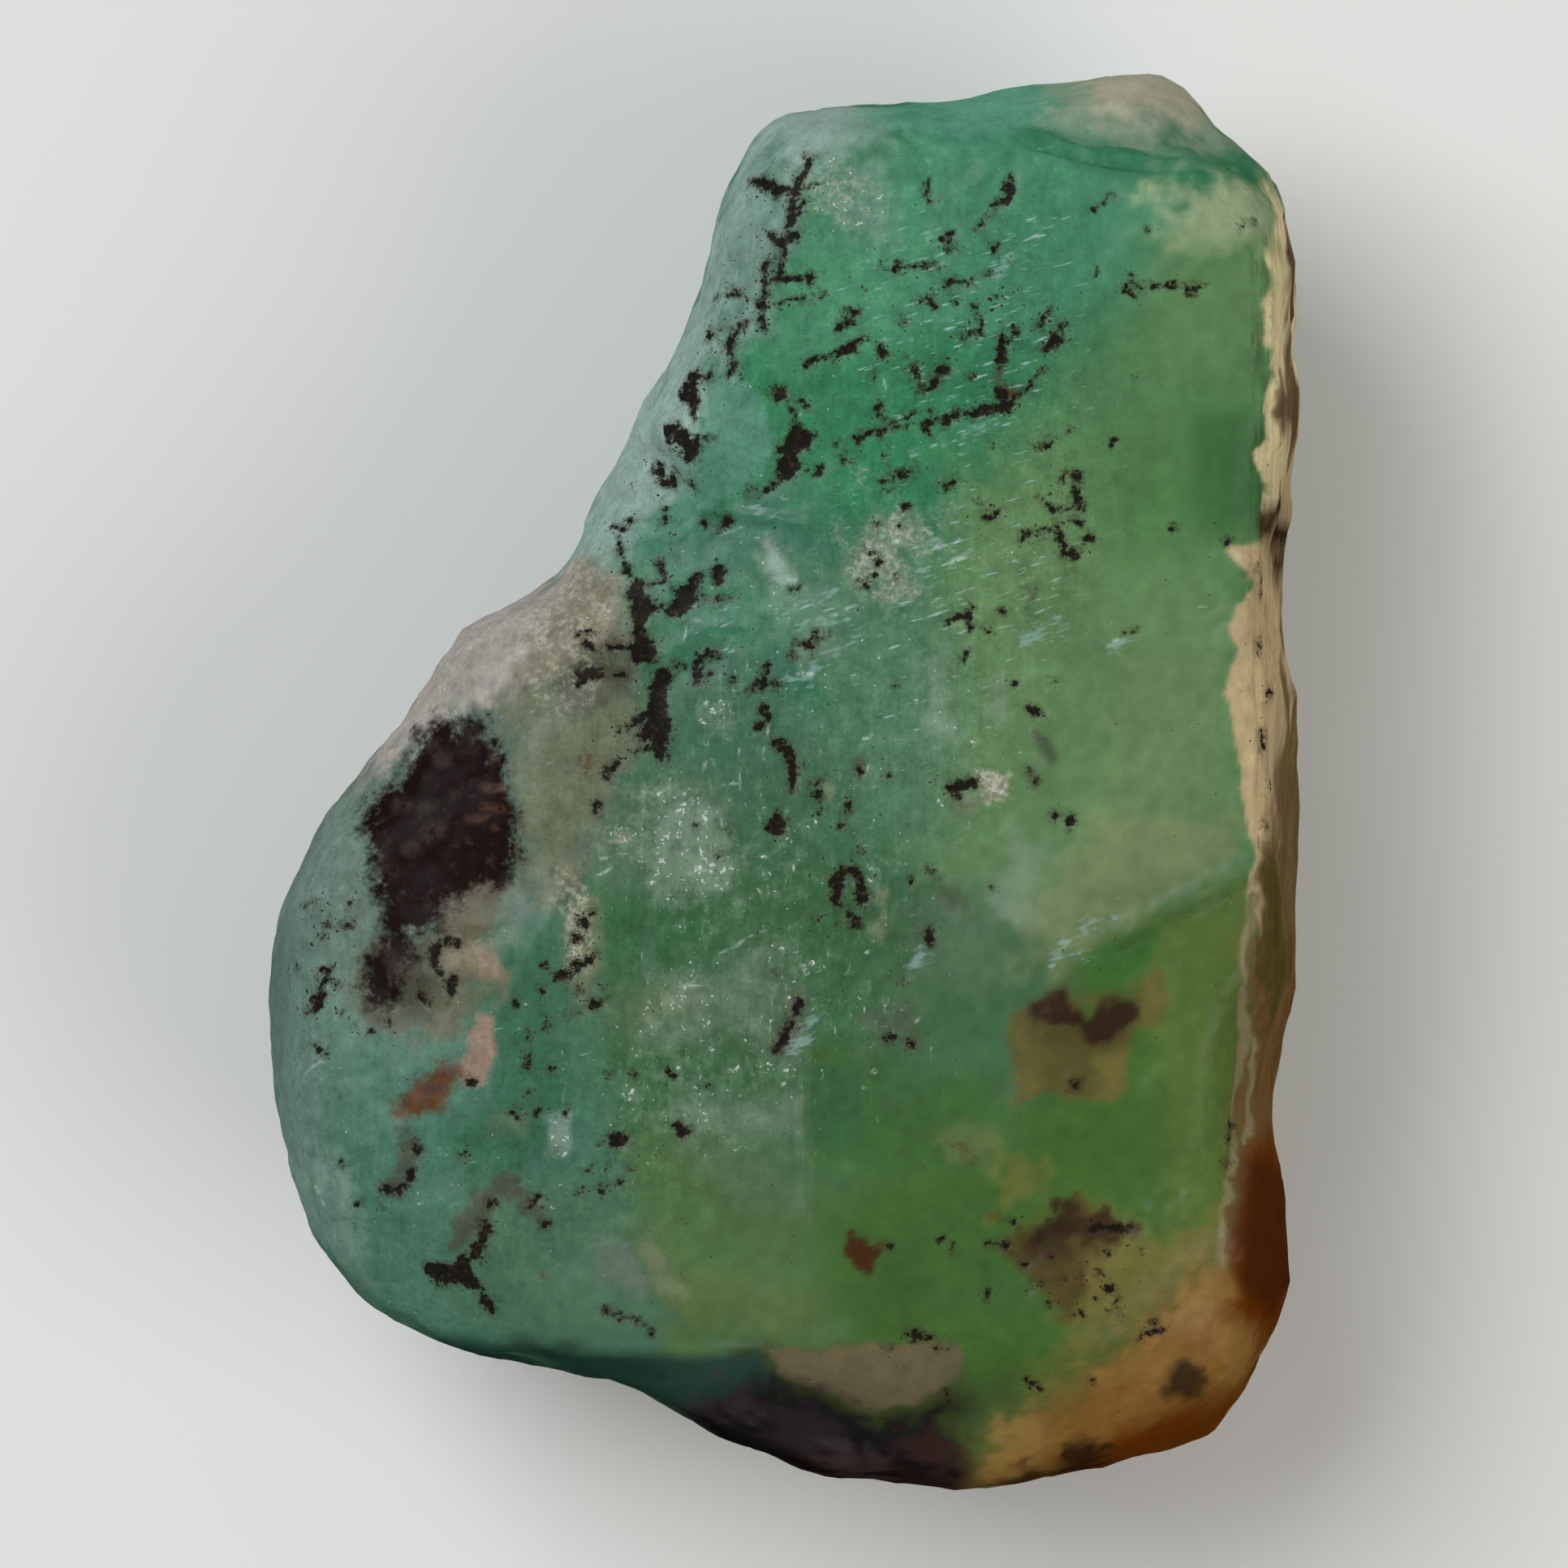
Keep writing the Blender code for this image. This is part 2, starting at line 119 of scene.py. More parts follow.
# partly painted light: the left facet's pale bluish teal is the bluish light it catches from the left
FACET = (0.088, 0.248, 0.170)
MID_GREEN = (0.056, 0.144, 0.062)
POOL = (0.038, 0.134, 0.072)
FOREST = (0.036, 0.118, 0.048)
LEAF = (0.090, 0.214, 0.082)
MOSS = (0.118, 0.226, 0.094)
SOFT_GREEN = (0.084, 0.196, 0.112)
PALE_MOSS = (0.152, 0.240, 0.106)
DUSTY_TEAL = (0.062, 0.152, 0.090)
LOW_LOBE = (0.068, 0.154, 0.086)
LOW_MOSS = (0.080, 0.160, 0.056)
PALE_SAND = (0.100, 0.148, 0.050)
SMUDGE = (0.066, 0.070, 0.046)
RIND_LOW = (0.150, 0.080, 0.026)
# partly painted light: the top slope's bluish green, lightened for the light it catches from the upper left
SLOPE_GREEN = (0.116, 0.330, 0.218)
SLOPE_BEIGE = (0.245, 0.320, 0.225)
MARGIN = (0.146, 0.226, 0.188)
DARK_MARGIN = (0.104, 0.162, 0.142)
DEEP_LEAF = (0.036, 0.120, 0.036)
YELLOW_GREEN = (0.058, 0.138, 0.026)
DARK_LEAF = (0.048, 0.126, 0.028)
OLIVE = (0.090, 0.150, 0.033)
GRASS = (0.042, 0.130, 0.026)
PALE_OLIVE = (0.182, 0.226, 0.108)
# partly painted light: the pale blue-green of the left edge and the top end, lit from the upper left
MINT = (0.150, 0.262, 0.215)
# partly painted light: a frosted white with the bluish light of the left edges painted in
FROST_AND_PAINTED_LIGHT = (0.280, 0.390, 0.345)
GREY_GREEN = (0.092, 0.162, 0.092)
VEIL = (0.225, 0.305, 0.230)
# painted glint: the white of the fine sparkling specks
SPARKLE_WHITE = (0.600, 0.680, 0.610)
MILK_TAN = (0.200, 0.230, 0.150)
TAN_PINK = (0.230, 0.195, 0.125)
LEAF_SHADE = (0.070, 0.178, 0.056)
PURPLE_GREY = (0.070, 0.050, 0.052)
PALE_CRUST = (0.205, 0.262, 0.190)
# painted glint: the white of the bright spots
SPARK = (0.640, 0.760, 0.700)
CRUST = (0.500, 0.500, 0.410)
CRUST_DARK = (0.220, 0.220, 0.155)
LOBE_GREY = (0.120, 0.168, 0.130)
BEIGE_GREEN = (0.138, 0.165, 0.100)
BEIGE = (0.300, 0.380, 0.220)
BUFF = (0.245, 0.222, 0.160)
PALE_SLOPE = (0.430, 0.400, 0.295)
# partly painted light: the lobe's pinkish white, with the white sheen along its ridge painted in
PINK_WHITE = (0.370, 0.335, 0.305)
PINK = (0.285, 0.200, 0.152)
TAN_GREEN = (0.126, 0.122, 0.070)
TAN_OLIVE = (0.102, 0.092, 0.025)
SAND = (0.168, 0.146, 0.036)
TAUPE = (0.136, 0.110, 0.058)
HONEY = (0.225, 0.108, 0.022)
PALE_HONEY = (0.300, 0.185, 0.052)
AMBER = (0.124, 0.032, 0.003)
RED_BROWN = (0.052, 0.014, 0.004)
# painted shade: the stone's teal, darkened for the slope that faces down at the lower end
TEAL_IN_PAINTED_SHADE = (0.020, 0.058, 0.042)
NIGHT = (0.008, 0.007, 0.008)
PLUM = (0.034, 0.017, 0.014)
OLIVE_SHADE = (0.052, 0.092, 0.028)
DARK_OLIVE = (0.045, 0.066, 0.017)
RIND_TAN = (0.470, 0.362, 0.200)
RIND_CREAM = (0.640, 0.550, 0.315)
RIND_MID = (0.150, 0.098, 0.042)
HOLLOW = (0.088, 0.066, 0.019)
CREAM = (0.240, 0.205, 0.105)
MICA = (0.010, 0.008, 0.007)
MICA_BROWN = (0.045, 0.026, 0.015)
PATCH_DARK = (0.013, 0.006, 0.006)
BLOT_BROWN = (0.026, 0.011, 0.005)
SMOKE = (0.074, 0.054, 0.015)
PATCH_GREY = (0.062, 0.048, 0.044)
RUST = (0.110, 0.036, 0.008)
ORANGE = (0.220, 0.100, 0.050)
# painted glint: the pale blue of the flecks and streaks
GLINT_BLUE = (0.360, 0.560, 0.540)

# Washes of colour, laid one over another, in mm: colour, strength, soft edge, ragged edge, outline.
WASHES = (
    # the green body, from the top end to the lower end
    (GREY_GREEN, 0.6, 1.5, 0.3, ((-15, 5), (-3, 5), (-2.5, 1), (14, 1), (14, -19), (-15, -19))),
    (LEAF, 1.0, 3.0, 0.5, ((6.4, 10.7), (9, 13), (13, 14.3), (13, -2.7), (5.6, -2.7), (4.2, 1.3),
        (4.6, 5.3))),
    (MOSS, 0.9, 2.4, 0.6, ((3.2, 3.7), (4.4, 7.7), (6.6, 7.9), (8.6, 5.3), (11.2, 5.7), (11.2, -0.7),
        (10.6, -1.7), (6.6, -3.7), (3.6, -3.7), (2.8, 0.3))),
    (BRIGHT, 0.8, 2.4, 0.5, ((0.2, 16.3), (10.6, 15.5), (9, 12.7), (6.6, 10.9), (3.6, 11.3), (0.6, 10.5),
        (-0.4, 11.3))),
    (SEA, 0.9, 2.0, 0.5, ((-3.8, 6.5), (-0.2, 7.3), (1.6, 6.3), (1.8, 3.3), (-0.4, 1.3), (-2.8, 0.5),
        (-2.8, 4.1))),
    (EMERALD, 0.45, 1.5, 0.4, ((-2.2, 5), (1.6, 5), (1.8, 3.6), (-2, 3.4))),
    (LEAF_SHADE, 0.6, 1.4, 0.3, ((8, 8.8), (10.8, 8.8), (10.8, 5.8), (8.4, 5.4))),
    (DEEP_LEAF, 0.8, 1.2, 0.3, ((10.2, 8.9), (12.2, 9.3), (12.2, 6.5), (10.6, 6.3))),
    (SOFT_GREEN, 0.85, 1.6, 0.5, ((-0.4, 5.2), (3.4, 5.6), (4.4, 2.6), (4, -1.2), (1, -1.6), (0.6, 2))),
    (DEEP_EMERALD, 0.3, 2.0, 0.4, ((3.6, 15), (8.2, 14.8), (8.2, 9.6), (6, 8.6), (4.6, 10.6))),
    (PALE_MOSS, 0.7, 1.6, 0.4, ((7.8, 3.4), (10.8, 3.2), (10.9, -0.7), (8, -0.7))),
    (DUSTY_TEAL, 0.75, 2.0, 0.6, ((-3.8, 3.3), (-1, 3.1), (0.8, 1.9), (1.6, -1.7), (0.4, -3.2),
        (-3.4, -1.2))),
    (MID_GREEN, 1.0, 2.0, 0.5, ((-4.6, -2.7), (0.6, -1.7), (5.6, -3.2), (7.8, -4.7), (8.2, -9.7), (2, -11),
        (-3.8, -10.9), (-4.8, -6.7))),
    (TEAL, 1.0, 1.8, 0.5, ((-14, 1.3), (-6.6, -1.9), (-6, -2.7), (-5.2, -5.7), (-3.6, -10.3), (-2.8, -13.5),
        (-5.4, -15.5), (-14, -16))),
    (LOW_LOBE, 0.9, 1.6, 0.5, ((-7.6, -9.7), (-3.6, -9.3), (-2.6, -13.9), (-6.4, -14.2), (-8.2, -12.7))),
    (GREY_GREEN, 0.8, 1.2, 0.6, ((-4.2, 0.1), (-2.2, 0.1), (-1.2, -0.7), (-1.2, -2.7), (-4.4, -2.7),
        (-5.4, -2.3), (-5.4, -0.5))),
    (GREY_GREEN, 0.8, 1.2, 0.6, ((-0.6, -3.9), (0.6, -4.3), (0.6, -6.7), (-3.4, -6.3), (-4.6, -5.9),
        (-4.4, -5.1), (-1.4, -4.9))),
    (PALE_OLIVE, 0.45, 0.8, 0.5, ((-3.6, -4.8), (-2.2, -4.9), (-2.2, -5.6), (-3.6, -5.7))),
    (POOL, 0.9, 1.2, 0.5, ((-7, -3.1), (-5.8, -3.3), (-5.2, -7.7), (-5.6, -9.5), (-8.2, -9.9), (-8.2, -8.7),
        (-7, -7.5), (-7.4, -5.3))),
    (FOREST, 0.3, 2.0, 0.4, ((-4.6, -6.6), (-1.4, -6.6), (0.2, -7.4), (-2.6, -8), (-3.6, -9.6),
        (-4.8, -9.4))),
    (FOREST, 0.85, 0.6, 0.2, ((-4.3, -3), (-1.4, -2.9), (-1.3, -4.7), (-4.3, -4.8))),
    (GREY_GREEN, 0.7, 1.4, 0.5, ((2.2, -2.8), (5.6, -2.7), (5.2, -5.1), (2.6, -4.8))),
    (FOREST, 0.5, 1.6, 0.4, ((-1.2, 0.2), (1.8, 0.2), (3.4, -3.6), (2.4, -6), (0.6, -6), (-1, -2.8))),
    (LOW_MOSS, 0.95, 1.4, 0.4, ((-3.8, -8.9), (-2.6, -8.3), (0.4, -9.7), (2.4, -10.1), (3, -13.2),
        (0.6, -13.8), (-2.8, -13.7), (-3.6, -11.7))),
    (YELLOW_GREEN, 1.0, 1.8, 0.4, ((1.2, -10.7), (3.6, -9.3), (5.6, -8.7), (6.2, -5.7), (8.6, -2.9),
        (12.6, -2.3), (12.6, -10.7), (7.6, -15.5), (3.6, -17.6), (1.2, -13.7))),
    (DARK_LEAF, 0.8, 2.0, 0.4, ((0.8, -10.3), (5.8, -9.9), (6.2, -13.5), (1.6, -13.7))),
    (DARK_LEAF, 0.8, 0.9, 0.1, ((0.62, -6.3), (1.8, -6.3), (3.6, -7.3), (5.4, -7.3), (5, -9.3), (2.6, -9.5),
        (0.6, -9.3))),
    (MID_GREEN, 0.45, 0.9, 0.2, ((1.9, -6.4), (3.9, -6.5), (4, -7.4), (3, -8.2), (2.1, -8.2))),
    (GREY_GREEN, 0.55, 0.7, 0.3, ((-2.6, -7.7), (0.5, -7.2), (0.54, -10.7), (-1.4, -10.7), (-2.6, -9.1))),
    (PALE_OLIVE, 0.75, 1.0, 0.4, ((7.2, -1.9), (8.6, -0.9), (11.2, -0.7), (11.4, -1.9), (10.2, -2.7),
        (8.6, -3.5), (7.4, -4.3), (6.6, -4.7), (5.8, -4.5), (6.2, -3.1))),
    (OLIVE, 0.9, 0.7, 0.1, ((8.8, -3.6), (10.2, -2.9), (11.2, -2.3), (12.4, -2.2), (12.4, -10.7),
        (9.2, -11.9), (9.5, -5.7))),
    (GRASS, 0.9, 0.5, 0.1, ((7.4, -5.3), (7.2, -4.5), (8.2, -3.7), (9.3, -3.5), (9.2, -4.5), (8.4, -5.4))),
    # the left facet, the frosted left edge and the top end; their pale blues are partly painted light, the
    # bluish light that the facet, the left edge and the top slope catch from the upper left
    (MINT, 0.9, 1.0, 0.3, ((-0.2, 17), (-2.2, 14.7), (-3.4, 11.5), (-5.2, 8.7), (-6, 6.7), (-6, 5), (-4, 4.9),
        (-3.6, 6.5), (-2.2, 7.3), (-2.1, 9.9), (-1.3, 10.7), (-0.4, 11.3), (-0.2, 12.7), (0.4, 13.5),
        (0.6, 15.3), (1.2, 16.8))),
    (FACET, 0.95, 0.3, 0.05, ((-1.3, 10.4), (-2.1, 9.9), (-2.6, 8.5), (-3.4, 7.1), (-4, 5.9), (-2.6, 5.9),
        (-1.6, 7), (-0.6, 7.5), (-0.1, 8.3), (-0.8, 9.6))),
    (FROST_AND_PAINTED_LIGHT, 0.75, 0.8, 0.3, ((-0.2, 17), (-2.6, 12.8), (-3.6, 10.4), (-5.2, 8.2), (-6, 5.8), (-4.6, 5),
        (-2.9, 6.9), (-2, 9.3), (-1.5, 11.3), (-0.6, 14))),
    (FROST_AND_PAINTED_LIGHT, 0.35, 0.25, 0.06, ((-2.1, 10.2), (-2.1, 7.2), (-3.2, 6.6), (-4.8, 6.9), (-3.2, 10))),
    (FROST_AND_PAINTED_LIGHT, 0.7, 0.8, 0.3, ((-0.8, 15.9), (0.6, 15.4), (2.6, 15.7), (2.8, 18), (-1, 18))),
    (SLOPE_GREEN, 0.9, 0.8, 0.3, ((2.2, 15.9), (4.6, 15.7), (7.6, 15.8), (7.4, 18.4), (2.2, 18.4))),
    (SLOPE_BEIGE, 0.9, 0.9, 0.4, ((6.6, 16.1), (6.8, 18.4), (12.4, 18.4), (12.4, 15.2), (9.6, 15.4))),
    (PALE_SLOPE, 0.9, 0.8, 0.4, ((7.7, 16.5), (7.8, 18.4), (10.4, 18.4), (10.6, 16.8), (9.8, 16),
        (8.8, 16.3))),
    (FROST_AND_PAINTED_LIGHT, 0.8, 0.7, 0.3, ((-0.4, 15.7), (0.4, 17), (1.8, 17), (1.4, 15.5), (0.6, 15.3))),
    (DEEP_EMERALD, 0.6, 0.4, 0.1, ((3.2, 16), (7.4, 15.9), (8.6, 15.35), (11.5, 15.1), (11.5, 14.86),
        (8.6, 15.06), (7.4, 15.3))),
    (MINT, 0.6, 1.0, 0.5, ((0.8, 15.5), (2.4, 15.6), (2.6, 13.5), (1.2, 13.5))),
    (BEIGE, 1.0, 0.9, 0.5, ((9, 14.8), (12, 14.8), (12, 13.1), (10.6, 13.1), (9.8, 13.3), (9.6, 14.1))),
    (MOSS, 0.6, 1.6, 0.4, ((9.2, 13.3), (12, 13.3), (12, 9.7), (9.4, 10.5))),
    # the lobe, pale above, with a white sheen along its upper ridge partly painted in
    (LOBE_GREY, 0.95, 0.5, 0.3, ((-6.4, 6.4), (-4.3, 5.2), (-3.6, 4), (-3.5, 1), (-4.2, -0.4), (-5, -2.7),
        (-6.4, -3.3), (-8, -5.3), (-10.6, -5.3), (-13, -2.7), (-12.6, 0.3), (-8.4, 5.3))),
    (BUFF, 1.0, 0.9, 0.4, ((-5.6, 5.6), (-4, 4.9), (-4, 3.3), (-5.4, 2.7), (-6.2, 2.1), (-7, 1.3),
        (-7.4, 2.3), (-7, 4.2))),
    # partly painted sheen along the lobe's upper ridge
    (PINK_WHITE, 1.0, 0.9, 0.4, ((-5.2, 5.6), (-5.4, 4.6), (-6.4, 3.6), (-6.6, 2.4), (-7, 2), (-8.2, 1.6),
        (-9.4, 0.9), (-10.6, 0), (-11.4, 0.4), (-8.8, 4.2), (-6.4, 6))),
    (BEIGE_GREEN, 0.95, 0.8, 0.3, ((-7, 1.9), (-4, 3.6), (-3.4, 1), (-4.2, 0.1), (-5, -1.9), (-5, -2.7),
        (-5.6, -3.3), (-6.2, -2.3), (-6.7, 0.1))),
    (MARGIN, 0.85, 2.0, 0.4, ((-13.4, -1.7), (-10.8, 0.6), (-10.2, -2.7), (-11, -5.7), (-11.4, -9.7),
        (-13, -9.7))),
    (DARK_MARGIN, 0.8, 0.8, 0.4, ((-13.6, -2.7), (-12.4, -2.2), (-12.1, -4.7), (-12.3, -7.7), (-13.6, -7.9))),
    (MARGIN, 0.45, 0.5, 0.4, ((-12, -9.1), (-11, -9.3), (-10.6, -10.7), (-10, -12.5), (-10.8, -12.6),
        (-11.8, -10.7))),
    # partly painted light: frosted white on the lobe's lit left edge
    (FROST_AND_PAINTED_LIGHT, 0.2, 0.7, 0.5, ((-12.2, -9.2), (-11.2, -8.9), (-10.4, -10.6), (-10.6, -12), (-11.8, -11.2))),
    (TAN_GREEN, 0.85, 0.7, 0.6, ((-8.2, -2.5), (-7.2, -1.9), (-7, -2.7), (-7.6, -3.7), (-7, -4.7),
        (-6.6, -5.1), (-7.4, -5.3), (-7.8, -5.9), (-8.6, -6.2), (-10.2, -6.1), (-10.4, -4.3), (-9.4, -3.7),
        (-8.6, -3.3))),
    (CREAM, 0.35, 0.5, 0.4, ((-8.4, -3.3), (-7.6, -2.9), (-7.2, -4.2), (-7.2, -5.2), (-7.8, -4.6))),
    (TAN_PINK, 0.5, 0.4, 0.35, ((-7.7, -1.8), (-7.3, -2.4), (-7.6, -3), (-7.9, -3.5), (-8.4, -4),
        (-8.4, -4.5), (-8, -4.9), (-7.3, -5), (-6.9, -5.1), (-7, -4.6), (-7.5, -4.1), (-7.5, -3.3),
        (-7.2, -2.6), (-7.4, -2))),
    (GREY_GREEN, 0.8, 0.5, 0.2, ((-7.3, -2.9), (-6.7, -2.9), (-6.6, -3.9), (-7.3, -3.8))),
    (SMUDGE, 0.9, 0.6, 0.4, ((-10.2, -3.9), (-8.6, -3.8), (-8.4, -4.8), (-8.9, -6), (-10.2, -6),
        (-10.3, -5))),
    (SMUDGE, 0.85, 0.5, 0.4, ((-8.8, -2.6), (-7.4, -2), (-6.9, -2.6), (-7.4, -3.4), (-8.2, -3.9),
        (-9, -3.9))),
    (TAUPE, 0.4, 0.5, 0.4, ((-8.8, -2.6), (-7.4, -2), (-6.9, -2.6), (-7.4, -3.4), (-8.2, -3.9), (-9, -3.9))),
    (SMUDGE, 0.75, 0.5, 0.6, ((-5.1, 3.5), (-3.9, 3.7), (-3.7, 2.1), (-4.6, 1.9), (-5.2, 2.4))),
    (PINK, 0.6, 0.2, 0.1, ((-7.5, -4), (-7.2, -4.1), (-6.7, -5), (-7.1, -5.1), (-7.4, -4.7))),
    (RUST, 0.8, 0.4, 0.3, ((-9.4, -8.05), (-8.5, -8), (-8.2, -7.3), (-8.2, -6.9), (-8.6, -7), (-9.2, -7.5))),
    (PINK, 0.95, 0.2, 0.1, ((-7.6, -5.7), (-7.16, -5.8), (-7.1, -6.6), (-7.4, -7.2), (-7.9, -7.3),
        (-8.2, -6.9), (-7.9, -6.4))),
    (SMUDGE, 0.85, 0.3, 0.25, ((-9.9, -10), (-9.4, -10.2), (-9.1, -9.6), (-8.9, -8.9), (-9.2, -8.5),
        (-9.5, -8.9), (-9.5, -9.5))),
    (SMUDGE, 0.85, 0.3, 0.25, ((-8.4, -11.7), (-7.8, -11.4), (-7.3, -10.6), (-7, -9.9), (-7.5, -10.1),
        (-8, -11))),
    (SMUDGE, 0.9, 0.2, 0.1, ((-7.1, -9.6), (-6.8, -9.45), (-6.5, -9.6), (-6.4, -10), (-6.7, -10.2),
        (-7.1, -10))),
    (SMUDGE, 0.8, 0.3, 0.25, ((-6.4, -10), (-6, -10.3), (-5.7, -10.9), (-6, -11), (-6.4, -10.4))),
    (GREY_GREEN, 0.7, 0.3, 0.2, ((-7.3, -7.8), (-6.2, -8.1), (-6.4, -8.6), (-7.4, -8.6))),
    # soft clouds and smudges on the main face
    (PALE_CRUST, 0.6, 0.9, 0.5, ((1.7, 6.4), (2.2, 6.8), (2.5, 6.3), (2.9, 6.7), (3.9, 6.7), (3.8, 6.1),
        (3.1, 5.9), (3, 5.2), (3.3, 4.5), (2.7, 4.4), (2.4, 5), (1.9, 5.2), (1.6, 5.8))),
    (PALE_CRUST, 0.3, 0.5, 0.3, ((0.1, 3.2), (0.8, 3.9), (1.3, 3.7), (1.2, 3), (0.5, 2.9))),
    (TAN_PINK, 0.5, 0.5, 0.35, ((-5.5, -2.2), (-5, -2.3), (-4.6, -2.9), (-4.6, -4.9), (-5, -5.8),
        (-5.6, -5.7), (-5.8, -4.9), (-5.5, -4.2), (-5.3, -3.2))),
    (VEIL, 0.6, 0.5, 0.3, ((-0.4, 6), (-0.1, 6), (0.2, 5.2), (-0.1, 5), (-0.4, 5.5))),
    (MILK_TAN, 0.6, 0.4, 0.3, ((1.95, -2.7), (2.5, -2.6), (2.5, -3.9), (2.1, -3.9), (2.2, -3.2))),
    (MILK_TAN, 0.6, 0.3, 0.2, ((0.85, 0), (1.2, 0), (1.15, -0.4), (0.9, -0.3))),
    (MILK_TAN, 0.6, 0.4, 0.3, ((4, -0.3), (4.9, -0.3), (4.8, -0.9), (4.1, -0.9))),
    (MILK_TAN, 0.9, 0.3, 0.1, ((5.1, 0.2), (5.5, 0.15), (5.6, -0.4), (5.1, -0.4))),
    (MILK_TAN, 0.5, 0.3, 0.2, ((6.15, 0.85), (6.4, 0.85), (6.35, 0.4), (6.1, 0.4))),
    (VEIL, 0.5, 0.5, 0.2, ((5.05, 2.6), (5.5, 2.6), (5.45, 1.5), (5, 1.5))),
    (VEIL, 0.5, 0.7, 0.3, ((3.5, 3), (4, 3.2), (4.1, 1.2), (3.6, 1.2))),
    (VEIL, 0.45, 0.8, 0.3, ((5.6, -1.4), (6.4, -1.6), (6.2, -3.4), (5.4, -3.2))),
    (VEIL, 0.3, 0.7, 0.4, ((-3.2, -0.2), (-1.4, -0.5), (-1.6, -2.4), (-3.2, -2.4))),
    (VEIL, 0.2, 0.8, 0.4, ((-3.4, -4.4), (-0.8, -4.4), (-0.8, -6.2), (-3.2, -6.2))),
    # partly painted light: a small frosted white spot
    (FROST_AND_PAINTED_LIGHT, 0.4, 0.2, 0.15, ((-5.9, -8.2), (-5.25, -8.25), (-5.3, -9), (-6.1, -9.1), (-5.95, -8.7))),
    (LOW_MOSS, 0.85, 0.6, 0.3, ((-3.2, -13), (1.8, -13.2), (1.8, -14.3), (-3.2, -14.2))),
    (VEIL, 0.25, 0.5, 0.3, ((-2.8, -7.9), (0.45, -7.7), (0.45, -8.6), (-0.6, -8.5), (-2.4, -8.5))),
    (FOREST, 0.7, 0.3, 0.05, ((0.5, -6.8), (1.9, -6.8), (1.9, -9), (0.5, -9))),
    (SMUDGE, 0.6, 0.5, 0.3, ((3.5, -2.6), (4.2, -2.5), (4.5, -3.1), (4.2, -3.3), (3.7, -2.9))),
    (SMUDGE, 0.8, 0.25, 0.1, ((6.15, 1.4), (6.5, 1.4), (6.75, 0.8), (6.6, 0.6), (6.3, 0.9))),
    (SMUDGE, 0.6, 0.25, 0.1, ((5.85, 0.6), (6.1, 0.6), (6.3, 0), (6.1, -0.1))),
    (SMUDGE, 0.6, 0.4, 0.2, ((0.3, -5), (0.7, -5.2), (0.4, -6), (0.2, -6.6), (-0.4, -6.6), (0, -6))),
    (SMUDGE, 0.5, 0.4, 0.2, ((2, -5.8), (3.2, -5.4), (3.4, -6.5), (2.4, -6.4))),
    (SMUDGE, 0.7, 0.2, 0.1, ((1.75, 0.5), (2, 0.5), (2.05, 0.1), (1.8, 0.1))),
    # partly painted light: a small frosted white spot
    (FROST_AND_PAINTED_LIGHT, 0.7, 0.25, 0.1, ((-0.3, 5.9), (-0.1, 5.8), (0.1, 5.2), (0.3, 5.06), (0, 4.94), (-0.3, 5.3))),
    # the warm patches of the lower right
    (TAN_OLIVE, 0.95, 0.2, 0.15, ((5.6, -5.7), (6.2, -5.5), (6.6, -5), (7, -5.2), (7.4, -5.9), (8.6, -5.7),
        (9.4, -4.7), (9.5, -5.4), (9.4, -5.9), (8.6, -6), (8.5, -6.9), (8.44, -7.7), (7.2, -7.8), (5.8, -7.8),
        (5.54, -6.7))),
    (SAND, 0.5, 0.6, 0.2, ((8.7, -5.6), (9.3, -4.8), (9.5, -5.4), (9.3, -5.9), (8.7, -5.95))),
    (SAND, 0.7, 0.4, 0.2, ((7.5, -6.6), (8.5, -6.6), (8.4, -7.7), (7.8, -7.7))),
    (SAND, 0.4, 0.5, 0.2, ((5.6, -5.9), (6.2, -6.3), (6.4, -7.7), (5.8, -7.7))),
    (SMOKE, 0.7, 0.7, 0.3, ((6, -5.4), (7, -4.9), (7.4, -5.6), (8.8, -5.3), (8.6, -6.4), (7.4, -6.8),
        (6.2, -6.4))),
    (BLOT_BROWN, 0.95, 0.3, 0.25, ((6.1, -5.5), (6.5, -5.1), (6.9, -5), (7.2, -5.4), (7.5, -5.7), (7.9, -5.6),
        (8.7, -5.5), (8.8, -5.8), (8.3, -6.1), (8, -6.4), (7.6, -6.4), (7.2, -6), (6.7, -5.9), (6.3, -5.8))),
    (TAN_OLIVE, 0.6, 0.25, 0.2, ((7.1, -5.2), (7.5, -4.9), (7.7, -5.4), (7.4, -5.55))),
    (BLOT_BROWN, 0.7, 0.3, 0.1, ((7, -7.3), (7.3, -7.3), (7.3, -7.6), (7, -7.6))),
    (PALE_SAND, 0.8, 0.6, 0.45, ((3.9, -8.7), (5.2, -8.8), (5, -9.5), (4.5, -9.5))),
    (SAND, 0.5, 0.6, 0.45, ((5.4, -9.3), (6.6, -9.3), (6.4, -10.1), (5.8, -10.1), (5.1, -10.7), (5.3, -9.9))),
    (SAND, 0.7, 0.8, 0.3, ((5.6, -11.3), (6.4, -10.7), (7.4, -10.5), (8.6, -10.8), (9.4, -11.4),
        (10.8, -10.8), (11, -12), (8.2, -13.7), (7.4, -13.9), (6, -12.1))),
    (SMOKE, 0.9, 0.4, 0.4, ((5.2, -11.4), (6.2, -10.7), (7.2, -10.4), (8.2, -10.9), (7.9, -11.8),
        (7.5, -12.6), (6.9, -13.2), (6.2, -12.4))),
    (SAND, 0.7, 0.4, 0.3, ((7.6, -11.9), (8.4, -11.3), (9.2, -11.6), (8.8, -12.6), (7.9, -13.5),
        (7.3, -13.2))),
    (BLOT_BROWN, 0.8, 0.3, 0.4, ((5.9, -11), (6.6, -10.6), (7, -10.4), (7.4, -10.9), (8.7, -10.9),
